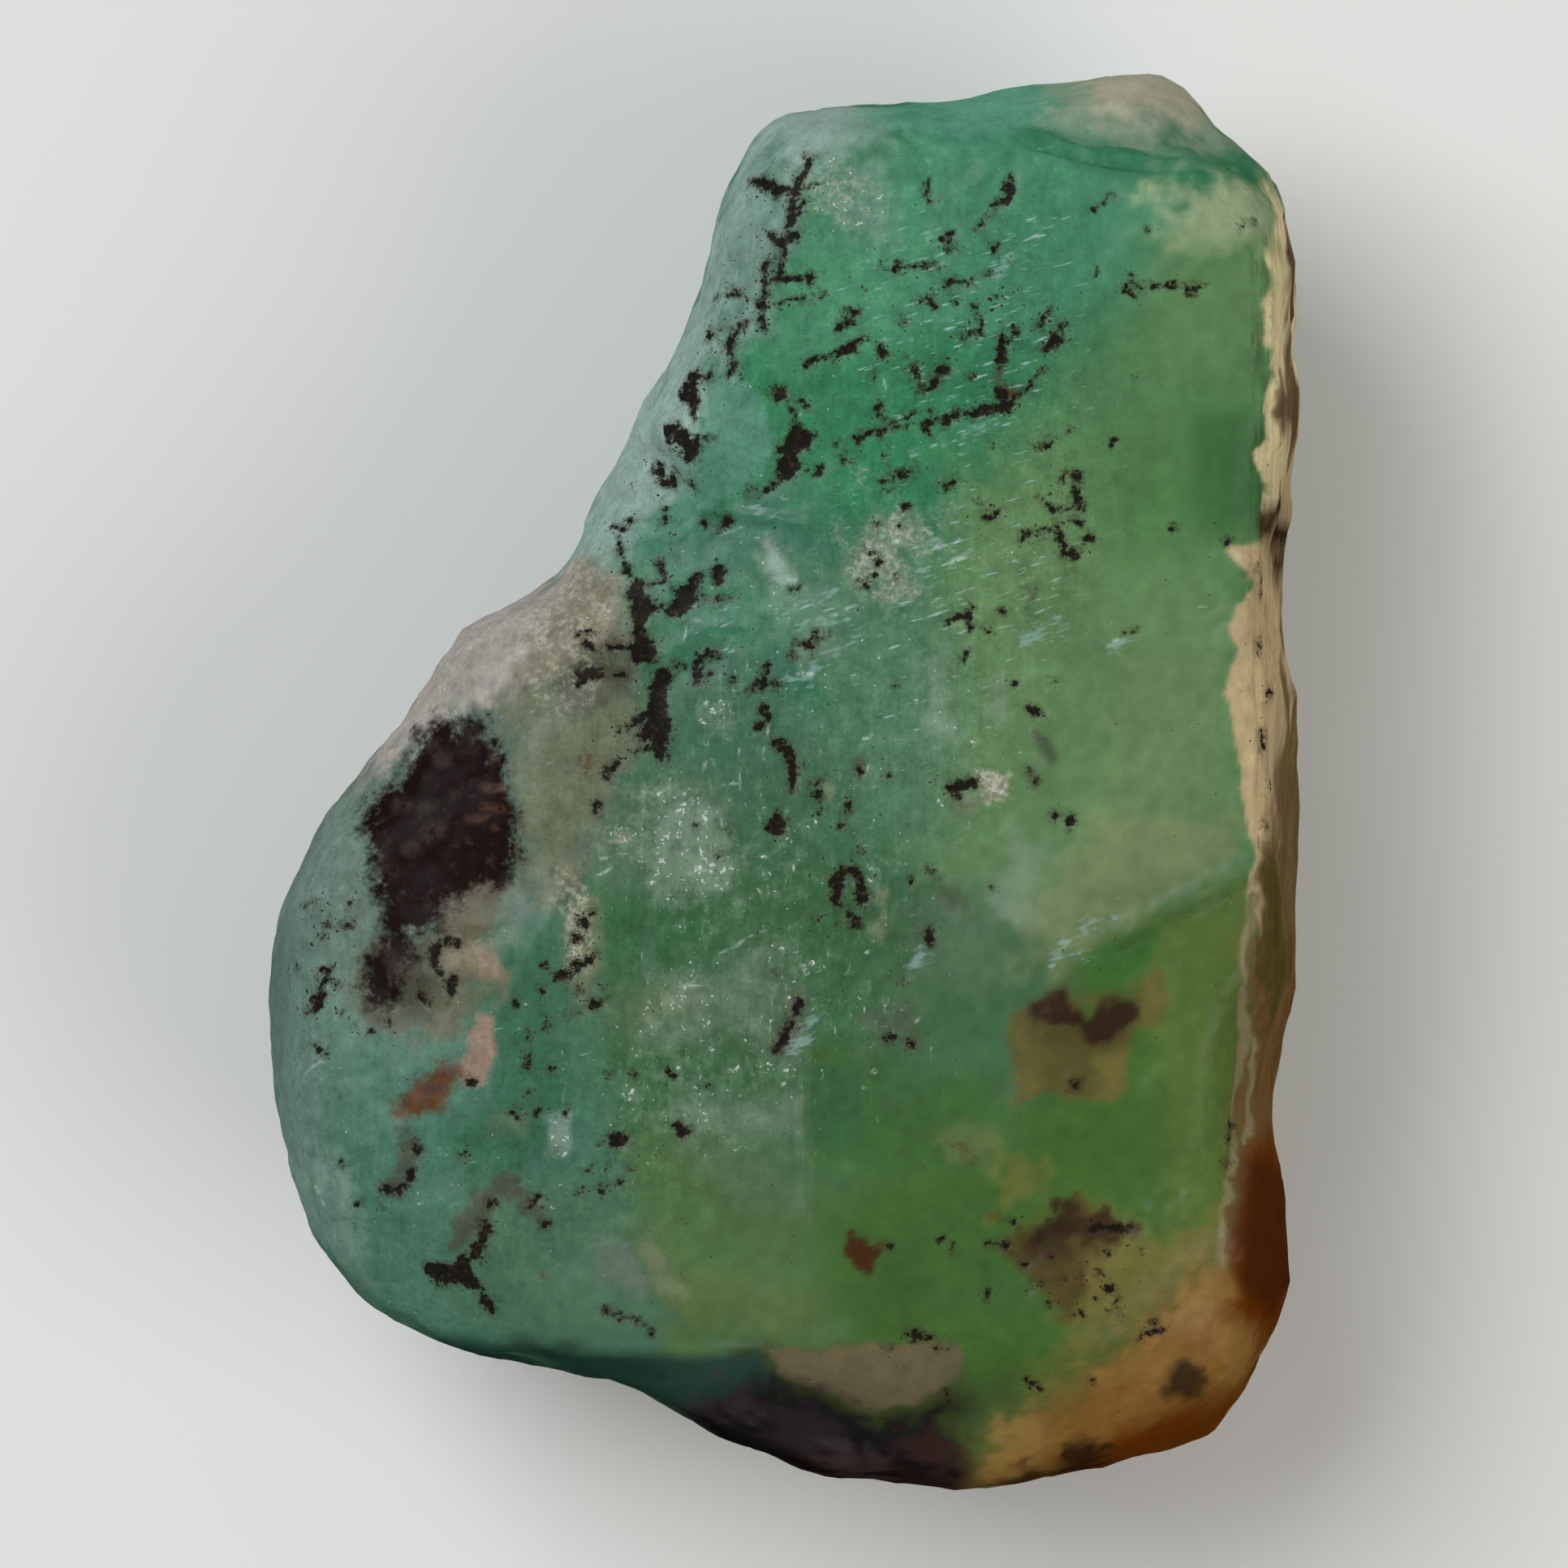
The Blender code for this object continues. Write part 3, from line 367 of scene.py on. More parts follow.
        (8.7, -11.1), (7.3, -11.1), (6.5, -11.4), (6.1, -11.4))),
    (BLOT_BROWN, 0.6, 0.4, 0.4, ((5.8, -11.6), (6.2, -10.9), (6.8, -10.6), (7, -11), (7, -11.4),
        (6.6, -11.7))),
    (RED_BROWN, 0.95, 0.2, 0.3, ((1.7, -10.9), (1.95, -11), (2.5, -11.35), (2.2, -11.6), (2.1, -12),
        (1.85, -11.7))),
    (PALE_SAND, 0.8, 0.9, 0.3, ((-3.6, -11.1), (-3, -11.3), (-2.4, -12.1), (-0.6, -12.3), (1, -12.7),
        (0.6, -13.5), (-2.6, -13.5), (-3.2, -12.7))),
    (LOBE_GREY, 0.8, 0.5, 0.2, ((-4.5, -11.2), (-3.7, -11.2), (-3.3, -12.5), (-3.6, -12.7), (-4.4, -12.3))),
    (MILK_TAN, 0.5, 0.5, 0.3, ((-3.6, -11.1), (-3.1, -11.3), (-2.5, -12.5), (-3.2, -12.7))),
    # the lower end: a dark slope with painted shade on its downward face, a pale lens, and the honey and
    # amber corner
    (DARK_OLIVE, 1.0, 0.5, 0.2, ((-1.6, -13.8), (4.2, -13.9), (5, -15.4), (4.6, -18), (-1.6, -16.6))),
    # painted shade on the slope that faces down
    (TEAL_IN_PAINTED_SHADE, 1.0, 0.5, 0.1, ((-9.4, -13.3), (-7.4, -13.6), (-5.4, -13.8), (-2.4, -13.95), (-0.6, -14.1),
        (-0.2, -14.9), (-1.6, -18), (-9.4, -17))),
    (TAUPE, 0.95, 0.25, 0.15, ((-0.5, -14), (0.2, -13.8), (1.8, -13.9), (3.6, -13.8), (4.4, -14),
        (4.5, -14.4), (4, -14.9), (3.2, -15.4), (2.2, -15.5), (1.2, -15.1), (0, -14.6))),
    (OLIVE_SHADE, 0.85, 0.8, 0.4, ((4.2, -14.6), (5.6, -14.4), (6.2, -15.6), (5, -17), (4.2, -15.9))),
    (NIGHT, 1.0, 0.7, 0.35, ((-2, -14.8), (-0.2, -14.6), (1.2, -15.1), (2.2, -15.6), (3.2, -15.6),
        (4.2, -15.1), (4.6, -15.4), (3.6, -15.8), (4.6, -16.5), (4.8, -18), (-2.4, -18), (-2.4, -15.6))),
    (PLUM, 0.7, 0.5, 0.3, ((0, -16.7), (4.6, -16.9), (4.9, -18), (-0.4, -18))),
    (PURPLE_GREY, 0.3, 0.6, 0.6, ((-2.6, -14.7), (-0.9, -14.7), (-0.6, -15.4), (-1.8, -15.9), (-2.8, -15.4))),
    (PURPLE_GREY, 0.2, 0.7, 0.6, ((-0.8, -15), (0.4, -15), (1.2, -15.7), (1.4, -16.6), (-0.2, -16.2))),
    (PLUM, 0.9, 0.5, 0.4, ((2.6, -15.9), (3.8, -15.9), (4.9, -16.7), (4.8, -17.2), (3, -16.9))),
    (PURPLE_GREY, 0.3, 0.4, 0.5, ((1.4, -16.4), (2.2, -16.6), (3, -17.4), (1.6, -17.4))),
    (SAND, 0.8, 1.4, 0.2, ((12, -9.9), (10.8, -11), (9, -12.2), (7.8, -13.6), (6, -15), (4.8, -16.3),
        (4.6, -18.6), (14, -18.6), (14, -9.9))),
    (HONEY, 0.95, 1.0, 0.2, ((12, -10.3), (10.8, -12), (9.6, -12.9), (8.6, -13.9), (5.8, -15.9), (5, -17),
        (4.8, -18.6), (14, -18.6), (14, -9.9))),
    (AMBER, 1.0, 0.9, 0.3, ((10.7, -11.9), (11.5, -14.3), (10.6, -15.1), (9.2, -15.7), (8, -16.3),
        (6.6, -16.6), (6.4, -18.6), (14, -18.6), (14, -10.7))),
    (PALE_HONEY, 0.7, 0.6, 0.4, ((10.2, -11.9), (11.2, -11.5), (11.2, -12.6), (10.2, -13.2), (9.4, -13.4))),
    (PALE_HONEY, 0.6, 0.6, 0.4, ((5.2, -15.9), (6, -15.4), (6.8, -16), (6.4, -16.9), (5.4, -17.2))),
    (PALE_HONEY, 0.35, 0.6, 0.4, ((7.6, -14.8), (8.6, -13.8), (9.8, -13.6), (9.6, -14.6), (8.4, -15))),
    (PALE_HONEY, 0.5, 0.5, 0.3, ((10.8, -13.5), (11.6, -13.3), (11.6, -13.9), (11.3, -14.8), (10.8, -14.7))),
    (BLOT_BROWN, 0.9, 0.4, 0.25, ((9.4, -15.1), (9.6, -14.5), (10, -14.3), (10.4, -14.6), (10.1, -15.1))),
    (BLOT_BROWN, 0.9, 0.5, 0.4, ((6.6, -16.3), (7.3, -15.9), (8, -16.5), (8, -17.4), (5.2, -17.6),
        (5.6, -16.9))),
    # the rind down the right side
    (RIND_CREAM, 1.0, 0.12, 0.05, ((11.6, 14.9), (11.8, 13.7), (11.8, 12.3), (11.64, 11.1), (11.9, 9.9),
        (11.9, 8.5), (11.55, 8.2), (11.7, 7.7), (11.8, 7.3), (11.8, 6.7), (12.1, 6.2), (14.5, 6),
        (14.5, 15.2))),
    (RIND_MID, 0.6, 0.4, 0.1, ((12.4, 12), (13.6, 12.4), (13.6, 6.7), (12.2, 6.7))),
    (RED_BROWN, 0.9, 0.2, 0.08, ((12.05, 13.2), (13.6, 13.6), (13.6, 11), (12.15, 11.2), (12.02, 12))),
    (RED_BROWN, 0.8, 0.2, 0.08, ((12.15, 10.3), (13.6, 10.4), (13.6, 8), (12.25, 8.4))),
    (RIND_TAN, 1.0, 0.12, 0.05, ((10.96, 5.94), (11.2, 5.5), (11.26, 4.9), (11, 4.4), (10.96, 3.8),
        (11.14, 3.3), (10.86, 2.4), (11.06, 2.1), (11.2, 1.3), (11.24, 0.3), (11.4, -0.5), (11.5, -1.7),
        (11.4, -2.1), (11.3, -2.9), (11.5, -3.7), (11.8, -4.7), (14.5, -4.7), (14.5, 5.94))),
    (RIND_MID, 1.0, 0.3, 0.1, ((12.2, 2.9), (13.6, 4), (13.6, -12), (10.9, -12), (11, -9.7), (11.3, -8.7),
        (11.2, -6.7), (11.5, -4.7), (11.6, -2.7), (11.84, -1.7), (12.1, 0.3))),
    (RIND_LOW, 0.8, 1.2, 0.1, ((11.3, -3.7), (13.8, -3.2), (13.8, -12), (11.1, -12))),
    (HOLLOW, 0.95, 0.25, 0.1, ((11.75, -1.4), (12.2, -1.6), (12.4, -3.7), (12.36, -4.7), (12, -5.6),
        (11.6, -4.7), (11.5, -3.1), (11.5, -2.2))),
    (AMBER, 0.9, 0.5, 0.1, ((11.3, -9.2), (12, -8.2), (13.8, -8.2), (13.8, -13.4), (11.6, -13.2),
        (10.9, -11.8))),
    (RED_BROWN, 0.76, 0.5, 0.1, ((11.3, -9.4), (12, -9.2), (12.9, -9.6), (12.9, -12.9), (11.9, -13.2),
        (11.3, -12.3), (11.2, -10.9))),
    (RED_BROWN, 0.8, 0.3, 0.15, ((11.7, 6.6), (12.2, 6.8), (12.6, 6), (12.4, 4.8), (12, 4.3), (11.85, 5.2),
        (11.65, 5.9))),
    (BLOT_BROWN, 0.95, 0.25, 0.15, ((11.8, 6.2), (12.1, 6.65), (12.5, 6.3), (12.3, 5.95))),
    (BLOT_BROWN, 0.85, 0.25, 0.15, ((11.9, 5.5), (12.3, 5.7), (12.3, 5), (12, 4.9))),
)
# Whitish granular veils, and crusts of pale grains, in mm: strength, soft edge, outline.
MILKS = (
    (0.8, 0.7, ((0.7, 15.5), (2.2, 15.6), (2.5, 14.3), (2.2, 13.5), (1, 13.9), (0.6, 14.5))),
    (1.0, 0.15, ((-5.8, -8.2), (-5.24, -8.26), (-5.28, -9.2), (-6.2, -9.2), (-5.96, -8.7))),
    (0.8, 0.6, ((-3.6, -4.7), (-1.6, -4.7), (-1.8, -5.6), (-3.4, -5.7))),
    (0.9, 0.8, ((-4.2, -0.2), (-2.8, 0.1), (-1.4, -0.3), (-1.2, -2.3), (-2.6, -3), (-4, -2.5))),
    (0.9, 0.5, ((-2.6, 2.2), (-1.3, 2.4), (-1.1, 1), (-2.2, 0.8))),
    (0.3, 1.0, ((-1, 3.9), (1.4, 3.9), (1.6, 2.7), (0.2, 1.3), (-1, 2.3))),
    (0.5, 0.7, ((3.4, 3.3), (4, 3.5), (4.4, 0.3), (3.6, -1.1))),
    (0.5, 0.4, ((4.8, 2.7), (5.5, 2.7), (5.4, 1.5), (4.9, 1.5))),
    (0.7, 0.4, ((3.9, -0.4), (4.8, -0.3), (4.8, -0.9), (4, -1))),
    (0.5, 0.8, ((5.4, -1.5), (6.8, -1.6), (6.6, -3.8), (5.6, -3.4))),
    (0.55, 0.8, ((1.6, -1.6), (2.6, -2), (3, -3.8), (1.8, -4.2), (1, -3))),
    (0.5, 0.6, ((3.2, -2.6), (4.6, -2.6), (4.8, -3.6), (3.4, -3.8))),
    (0.5, 0.6, ((1.8, -5.4), (3.6, -5.6), (3.4, -6.8), (1.8, -7))),
    (0.5, 1.2, ((-1, -1.4), (0.6, -1.4), (0.7, -8.4), (-3.6, -9.2), (-4.4, -5.6), (-1.2, -5.2))),
    (0.3, 2.0, ((-1.6, 5), (4, 5.4), (6.4, 1), (5.4, -5), (0.6, -5), (-1.6, 0))),
    (0.5, 0.8, ((-9.2, 2.4), (-7.4, 4.4), (-6.6, 4.8), (-6.8, 2.4), (-7.6, 1.4), (-9.4, 0.8))),
    (0.5, 0.5, ((-12.2, -9.3), (-11.2, -9.1), (-10.8, -10.9), (-11.8, -11.3))),
)
CRUSTS = (
    (0.55, 0.25, ((-5.6, -2.1), (-5, -2.3), (-4.7, -2.9), (-4.8, -4.7), (-5.4, -5.6), (-5.7, -5.1),
        (-5.4, -3.7))),
    (0.6, 0.9, ((1.7, 6.4), (2.1, 6.8), (2.5, 6.4), (2.9, 6.7), (3.9, 6.7), (3.8, 6.1), (3.2, 5.9), (3, 5.3),
        (3.3, 4.6), (2.7, 4.4), (2.4, 5), (1.9, 5.2), (1.6, 5.8))),
    (1.0, 0.3, ((4.9, 0.2), (5.5, 0.2), (5.5, -0.4), (5.1, -0.5))),
    (0.4, 0.8, ((-6.8, 4.8), (-5, 5.4), (-4.2, 4.6), (-4.6, 2.6), (-5.6, 2), (-6.6, 2.4))),
    (0.4, 0.8, ((0.4, 15.2), (1.6, 15.5), (2.2, 14.5), (1.4, 13.7), (0.6, 14.1))),
    (0.35, 0.8, ((-4.4, 0.3), (-3, 0.3), (-3.6, -1.7), (-4.4, -1.5))),
)

# Strokes, in mm: half width, trails, dots. First thin cream lines along the rind.
CREAM_LINES = (
    (0.05, (
        ((11.4, -2.9), (11.2, -5.5), (11.16, -6.7), (11.2, -8.6), (10.84, -10.6), (10.7, -11.9)),
        ((11.4, -6.2), (11.5, -7.6), (11.4, -8.8)),
    ), ()),
)
# Dark mica on the upper side: closed outlines, then strokes.
BLOTCHES = (
    ((-2.44, 9.74), (-2.1, 9.7), (-2.1, 9.4), (-2.24, 9.2), (-2.14, 9), (-2.3, 8.98), (-2.4, 9.2)),
    ((-3, 8.8), (-2.6, 8.9), (-2.4, 8.75), (-2.3, 8.5), (-2.1, 8.5), (-2.1, 8.05), (-2.3, 7.95), (-2.7, 8.35),
        (-2.9, 8.35), (-2.75, 8.6)),
    ((-0.5, 9.6), (0.04, 9.9), (0.1, 9.5), (-0.2, 9.44)),
    ((0.1, 8.7), (0.35, 8.92), (0.5, 8.7), (0.76, 8.65), (0.65, 8.3), (0.35, 8.14), (0.4, 7.9), (0.34, 7.5),
        (0, 7.4), (-0.3, 7.2), (-0.66, 7.1), (-0.5, 7.3), (-0.2, 7.44), (-0.1, 7.7), (-0.1, 8), (0, 8.14),
        (-0.2, 8.24), (0, 8.4)),
    ((2.4, 7.54), (2.7, 7.62), (3.05, 7.76), (3.1, 7.52), (2.7, 7.5), (2.5, 7.48), (2.44, 7.24)),
    ((-4.05, 4.75), (-3.7, 5.05), (-3.5, 5), (-3.45, 4.7), (-3.3, 4.4), (-3, 4.4), (-3.1, 4.2), (-3.35, 4.1),
        (-3.45, 3.8), (-3.35, 3.5), (-3.1, 3.4), (-3.1, 3.2), (-3.2, 3), (-3.6, 2.96), (-3.8, 3.1),
        (-3.7, 3.5), (-3.75, 3.9), (-3.85, 4.2), (-3.75, 4.55)),
    ((-2.8, 4.9), (-2.4, 4.9), (-2, 5.05), (-2.2, 4.7), (-2.3, 4.3), (-2.6, 4.1), (-2.9, 4.2), (-2.65, 4.6)),
    ((-3.1, 2.8), (-2.8, 2.86), (-2.76, 2.6), (-2.88, 2.3), (-2.88, 1.9), (-2.74, 1.6), (-2.76, 1.3),
        (-2.94, 1), (-2.9, 0.6), (-3.1, 0.46), (-3.24, 0.7), (-3.5, 0.8), (-3.3, 1), (-3.6, 1.2), (-3.5, 1.5),
        (-3.34, 1.9), (-3.34, 2.3)),
    ((-5.2, 2.5), (-5.1, 2.84), (-4.9, 2.94), (-4.5, 2.9), (-4.4, 2.62), (-4.8, 2.58), (-5.04, 2.46)),
    ((-4.2, 2.64), (-4, 2.82), (-3.8, 2.8), (-3.76, 2.64)),
    ((-0.5, -1.2), (-0.3, -0.86), (-0.08, -0.56), (-0.04, -0.8), (0.06, -1.2), (-0.2, -1.26)),
    ((-9, -11.9), (-8.7, -11.76), (-8.3, -11.84), (-7.9, -11.6), (-7.7, -12), (-7.4, -12.5), (-8, -12.4),
        (-8.5, -12.3), (-8.8, -12.1)),
)
TWIGS = (
    (0.04, (
        ((-0.36, 11.78), (0.1, 11.9), (1, 12.08)), ((2.9, 12.72), (3.8, 12.76)),
        ((8.4, 12.26), (10.4, 12.26)), ((-2.1, 8.5), (-1.76, 8.56)), ((-0.6, 7.2), (-0.9, 7.36)),
        ((-5.04, 3.74), (-4.7, 3.76)), ((-4.2, 3.32), (-3.7, 3.4)), ((4, 13.5), (4.04, 13.2), (4.4, 13.2)),
        ((4.7, 13.64), (4.9, 13.8), (4.94, 14)), ((5.6, 9.4), (6.4, 10.2)), ((3.6, 9.2), (3.56, 8.6)),
        ((8.7, -13.7), (9.4, -13.4)), ((5, -11.3), (5.5, -11.4)), ((-0.44, 2.9), (-0.48, 2.6)),
        ((8.7, 3.8), (8.4, 3.7)), ((-11.7, -5.6), (-11.3, -4.8), (-11, -4.9)),
        ((4.7, 11.8), (4.84, 11.3), (4.84, 11.06), (4.5, 11.02), (4.3, 11.1)), ((11.7, 3.6), (11.72, 3.2)),
        ((11.9, 2.4), (11.9, 2)), ((11.76, 1.3), (11.8, 0.8)), ((11.96, 0.2), (11.94, -0.2)),
        ((11.84, -0.8), (11.86, -1.1)), ((11.02, -8.4), (10.98, -8.8)),
    ), (
        (10.94, -9.3),
    )),
    (0.06, (
        ((0.4, 14.78), (0.8, 14.7)), ((0.3, 14.06), (0.56, 14.3)), ((-1.7, 11.9), (-1.16, 12.1)),
        ((1.3, 11.3), (1.6, 11.3)), ((1.4, 11.62), (1.84, 11.66)), ((1.76, 11.6), (1.7, 11.34)),
        ((2.4, 12.7), (2.56, 12.7)), ((3.54, 14.8), (3.54, 14.4)), ((3.3, 11.9), (3.6, 11.98), (3.7, 11.74)),
        ((3.9, 13.5), (4.2, 13.52)), ((4, 12.3), (4.16, 12.32)), ((4.3, 12.3), (4.6, 12.4)),
        ((5.24, 13.3), (5.24, 13.1)), ((6.36, 10.74), (6.8, 10.8), (6.8, 10.94)),
        ((8.4, 12.14), (8.64, 12.06)), ((10, 12.16), (10.1, 12)), ((2.96, 9), (3.2, 9.1)),
        ((3, 8.8), (3.3, 8.94), (3.7, 8.9)), ((1.8, 8.48), (2.1, 8.6)), ((4.04, 7.36), (4.3, 7.42)),
        ((4.9, 6.6), (5.36, 6.74)), ((6.26, 8.26), (6.5, 8.38)), ((8.16, 8.5), (8.1, 8.3)),
        ((6.5, 6.94), (6.6, 6.8), (7.1, 6.8)), ((5.9, 6.1), (5.96, 6.2), (6.7, 6.3)),
        ((7.1, 6.44), (7.36, 6.4)), ((-2.2, 7.46), (-2.2, 7.4)), ((-4.2, 6.3), (-3.94, 6.28)),
        ((-2.94, 6.8), (-2.94, 6.46)), ((-4.04, 6), (-4.04, 5.7)), ((-1.44, 6.5), (-1.7, 6.26)),
        ((0.4, 9.4), (0.6, 9.26)), ((1.4, 8.1), (1.56, 7.94)), ((-4.84, 3.5), (-4.74, 3.36)),
        ((-4.3, 3.34), (-3.8, 3.38)), ((0.3, 3.4), (0.5, 3.46), (0.7, 3.3)), ((0.86, 3.74), (0.84, 3.6)),
        ((-11.5, -4.7), (-11.2, -4.6)), ((-5.2, -4.4), (-4.95, -4.4)), ((-4.8, -5.4), (-4.6, -5.4)),
        ((-11.6, -6.4), (-11.3, -6.6)), ((-3.7, 0.76), (-3.4, 0.94)), ((-2, 4.6), (-1.4, 4.56)),
        ((-2.3, 5), (-2, 5.1)), ((-3.3, 4.9), (-3, 5)), ((-4.64, -0.5), (-4.6, -0.7)),
        ((-1.7, 3.24), (-1.6, 3.14)), ((-2.7, 3), (-2.5, 2.9)), ((-0.4, 1.9), (-0.44, 1.6), (-0.7, 1.4)),
        ((1, 0.14), (0.84, 0)), ((0.14, 4.8), (0.4, 4.86)), ((4.5, 3.3), (4.5, 3)), ((6, 0.3), (6.2, 0)),
        ((-8.9, -5.2), (-8.8, -5.46)), ((-6.2, -10.4), (-6, -10.2)), ((-6.28, -6.1), (-6.2, -6.4)),
        ((-6.3, -6.7), (-6.36, -7)), ((-4.4, -13), (-3.9, -13.2)), ((-3.7, -13.2), (-3.3, -13.5)),
        ((12.14, 7.1), (12.14, 6.8)), ((3.5, -2.1), (3.75, -2.15)), ((-0.9, 2.3), (-0.5, 2.4), (-0.15, 2.4)),
        ((-2.1, 2.75), (-2.1, 3.1), (-1.8, 3.2), (-1.6, 3.1)), ((0.95, 0.1), (0.75, 0)),
    ), (
        (0.22, 3.18), (1.1, 3.66), (-7.65, 1.3), (-7.4, 1.36), (-7.1, 1), (-7.3, 1.7), (-7, 0.62),
        (-7.6, 0.9), (-11.5, -2.86), (-11.4, -3.76), (-10.6, -2.9), (-12.4, -4.2), (-4.7, -3.2), (-4.7, -4.2),
        (-5.85, -4.5), (-10.9, -5.6), (-10.6, -6), (-10.2, -6.1), (-9.7, -5.9), (-1, 9.96), (2.92, 11.4),
        (2.94, 10.5), (1.96, 12.16), (2.2, 10.04), (5.04, 12.6), (4.2, 11.86), (5.24, 12.04), (7.64, 14.14),
        (7.84, 14.26), (8.1, 14.54), (9, 13.68), (7.74, 12.66), (8.56, 12.5), (9.6, 12.3), (4.6, 10.1),
        (5.3, 10.2), (11.3, 13.7), (3.24, 7.86), (2.66, 7.22), (2.5, 8.06), (3.8, 7.34), (4.84, 6.96),
        (7.04, 8.7), (6.3, 7.06), (-3.68, 7.34), (-3.8, 6.5), (-1.94, 6.44), (1.32, 8.4), (-0.96, 7.12),
        (-2.7, 5.7), (-1.8, 2.7), (-0.5, 1.2), (2.34, 6.36), (2.84, 6.36), (2.2, 5.2), (2.74, 5.06),
        (5.4, 4.26), (5.06, 3.74), (2.76, 2.4), (5.66, 2.4), (6.7, 2.6), (2.5, 0.3), (3.7, 0.06),
        (0.85, -0.7), (1.4, -1), (1.9, -1.6), (0.8, -3.3), (1.25, -3.5), (2.55, 0.3), (-1.6, -1.8),
        (-1.35, -1.15), (-2.2, -1), (-0.2, -4.65), (5.15, -2.55), (-12, -4.5), (-9.9, -10.4), (-4.5, -8.9),
        (-4.8, -9.46), (-4.36, -9.44), (-3.76, -9.5), (-5, -10), (-4.5, -10), (-4.1, -9.8), (-3.7, -7.14),
        (-4.3, -7.16), (-1.84, -7.34), (-5.34, -8.1), (-6.6, -5.4), (-4.4, -5), (5.96, -11.9), (6.1, -12.26),
        (6.56, -12.46), (7, -11.7), (8, -11.6), (7.74, -12.7), (8.26, -12.74), (7.3, -13.06), (8.8, -11.5),
        (2.6, -11.4), (9.1, -13.34), (3, -13.5), (2.56, -13.94), (7.6, -14.7),
    )),
    (0.07, (
        ((3.3, -13.5), (3.6, -13.6)), ((6.3, -12.3), (6.4, -12.3)), ((8.1, -13), (8.3, -13)),
        ((6, -14.7), (6.3, -14.9)), ((-5.9, -6), (-5.85, -5.8)),
    ), (
        (3, -13.55), (3.2, -13.75), (3.8, -13.9), (5.9, -11.9), (6.6, -11.6), (6.9, -12.2), (6, -12.5),
        (6.5, -12.8), (7.3, -12.1), (7.8, -12), (5.6, -10.8), (3.9, -11.2), (4.2, -11.4), (5, -12.6),
        (4, -15), (-10.9, -9.3), (-10.5, -10.4), (-7.9, -9.1), (-6.3, -7.6), (-5.7, -7), (-6, -5.1),
    )),
    (0.08, (
        ((0.3, 14.74), (0.6, 15.2), (0.62, 15.4)), ((-0.46, 12.8), (-0.5, 12)),
        ((-0.56, 11.82), (-0.54, 11.26)), ((-1.76, 11.2), (-1.7, 10.8)),
        ((-0.96, 11.34), (-1.24, 11.1), (-1.3, 10.7), (-1.24, 10.3), (-1.3, 10.1)),
        ((0.6, 10.34), (0.8, 10.46), (1.1, 10.5), (1.2, 10.6)), ((1.7, 10.8), (1.96, 11)),
        ((2.36, 10.8), (2.46, 10.54)), ((5.6, 15), (5.5, 14.74), (5.6, 14.6), (5.56, 14.4), (5.1, 14.26)),
        ((3.6, 12.76), (3.76, 12.78)), ((6.3, 11.3), (6.54, 11.66)),
        ((6.6, 10.9), (6.7, 11.14), (6.9, 11.24)), ((2.34, 9.3), (2.4, 9.06), (2.76, 8.86)),
        ((2.1, 8.6), (2.5, 8.7)), ((0.2, 9.3), (0.3, 9.1)), ((6.9, 7.5), (7, 7.64), (7.2, 7.64), (7.24, 7.5)),
        ((6.7, 6.4), (6.84, 6), (6.9, 5.7)), ((7.4, 6.04), (7.56, 6.1)),
        ((-1.9, 10.06), (-2.16, 9.96), (-2.24, 9.7)), ((-2.28, 9.2), (-2.2, 9)), ((0.76, 7.6), (0.84, 7.8)),
        ((-4, 1.3), (-3.4, 1.7)), ((-3.1, 5.5), (-2.96, 5.06)), ((-3.94, 5.5), (-3.9, 5.26)),
        ((-4.4, 0.1), (-4.4, 0.3), (-4.1, 0.5)), ((-1.9, 3.2), (-2.1, 3), (-2.16, 2.7), (-2.1, 2.54)),
        ((-0.7, 2.4), (-0.3, 2.54), (-0.16, 2.44)), ((2.1, 5.8), (2.3, 5.54)),
        ((4.04, 4), (4.54, 4.2), (4.66, 4.36)), ((4.54, 4.2), (4.6, 3.9)),
        ((0.36, -5.4), (0.16, -5.9), (-0.1, -6.4)), ((3.56, -3.5), (3.56, -3.9)),
        ((-8.6, -4), (-8.64, -4.3), (-8.44, -4.6)), ((-8.2, -4.7), (-8.16, -5), (-8.2, -5.2)),
        ((-8.3, -3.84), (-8.04, -3.9)), ((-9.1, -8.86), (-9, -9.1)), ((-9.2, -9.5), (-9.3, -9.9)),
        ((-6.7, -8.14), (-6.5, -8.2)), ((-5.16, -3.9), (-4.96, -3.8)), ((-5.1, -4.5), (-4.7, -4.3)),
        ((-5.4, -4.66), (-5.16, -4.6)), ((-4.74, -5.44), (-4.5, -5.4)), ((-5.3, -5.66), (-4.96, -5.66)),
        ((12.24, 8.4), (12.2, 7.6)), ((12.1, 5.86), (11.8, 5.6), (11.66, 5.3), (11.7, 4.6)),
    ), (
        (5.7, 11.14), (8.74, 10.02), (5.24, 8.34), (9.6, 6.26), (3.2, -2.4), (-5.04, -5.14),
    )),
    (0.11, (
        ((-0.66, 14.72), (0.3, 14.6)), ((0.2, 14.6), (0.2, 14.2), (0.14, 13.86)),
        ((-0.3, 13.5), (-0.14, 13.34), (0.04, 13.34), (0.3, 13.54)),
        ((0.04, 13.34), (-0.06, 12.94), (-0.06, 12.54)), ((-0.24, 12.42), (0.6, 12.42), (0.7, 12.3)),
        ((2.78, 12.84), (2.82, 12.7)), ((5.4, 11), (5.34, 10.5)), ((7.2, 7.2), (7.3, 6.8)),
        ((3.94, 8.9), (4.2, 9.06), (5, 9.24), (5.5, 9.24), (5.6, 9.4)),
        ((3.16, 10.2), (3.3, 10), (3.4, 9.74), (3.7, 9.74), (3.76, 10.06), (4, 10.26)),
        ((-3.1, 7.8), (-3.08, 7.56), (-2.9, 7.42)), ((-2.72, 7.66), (-2.8, 7.4)),
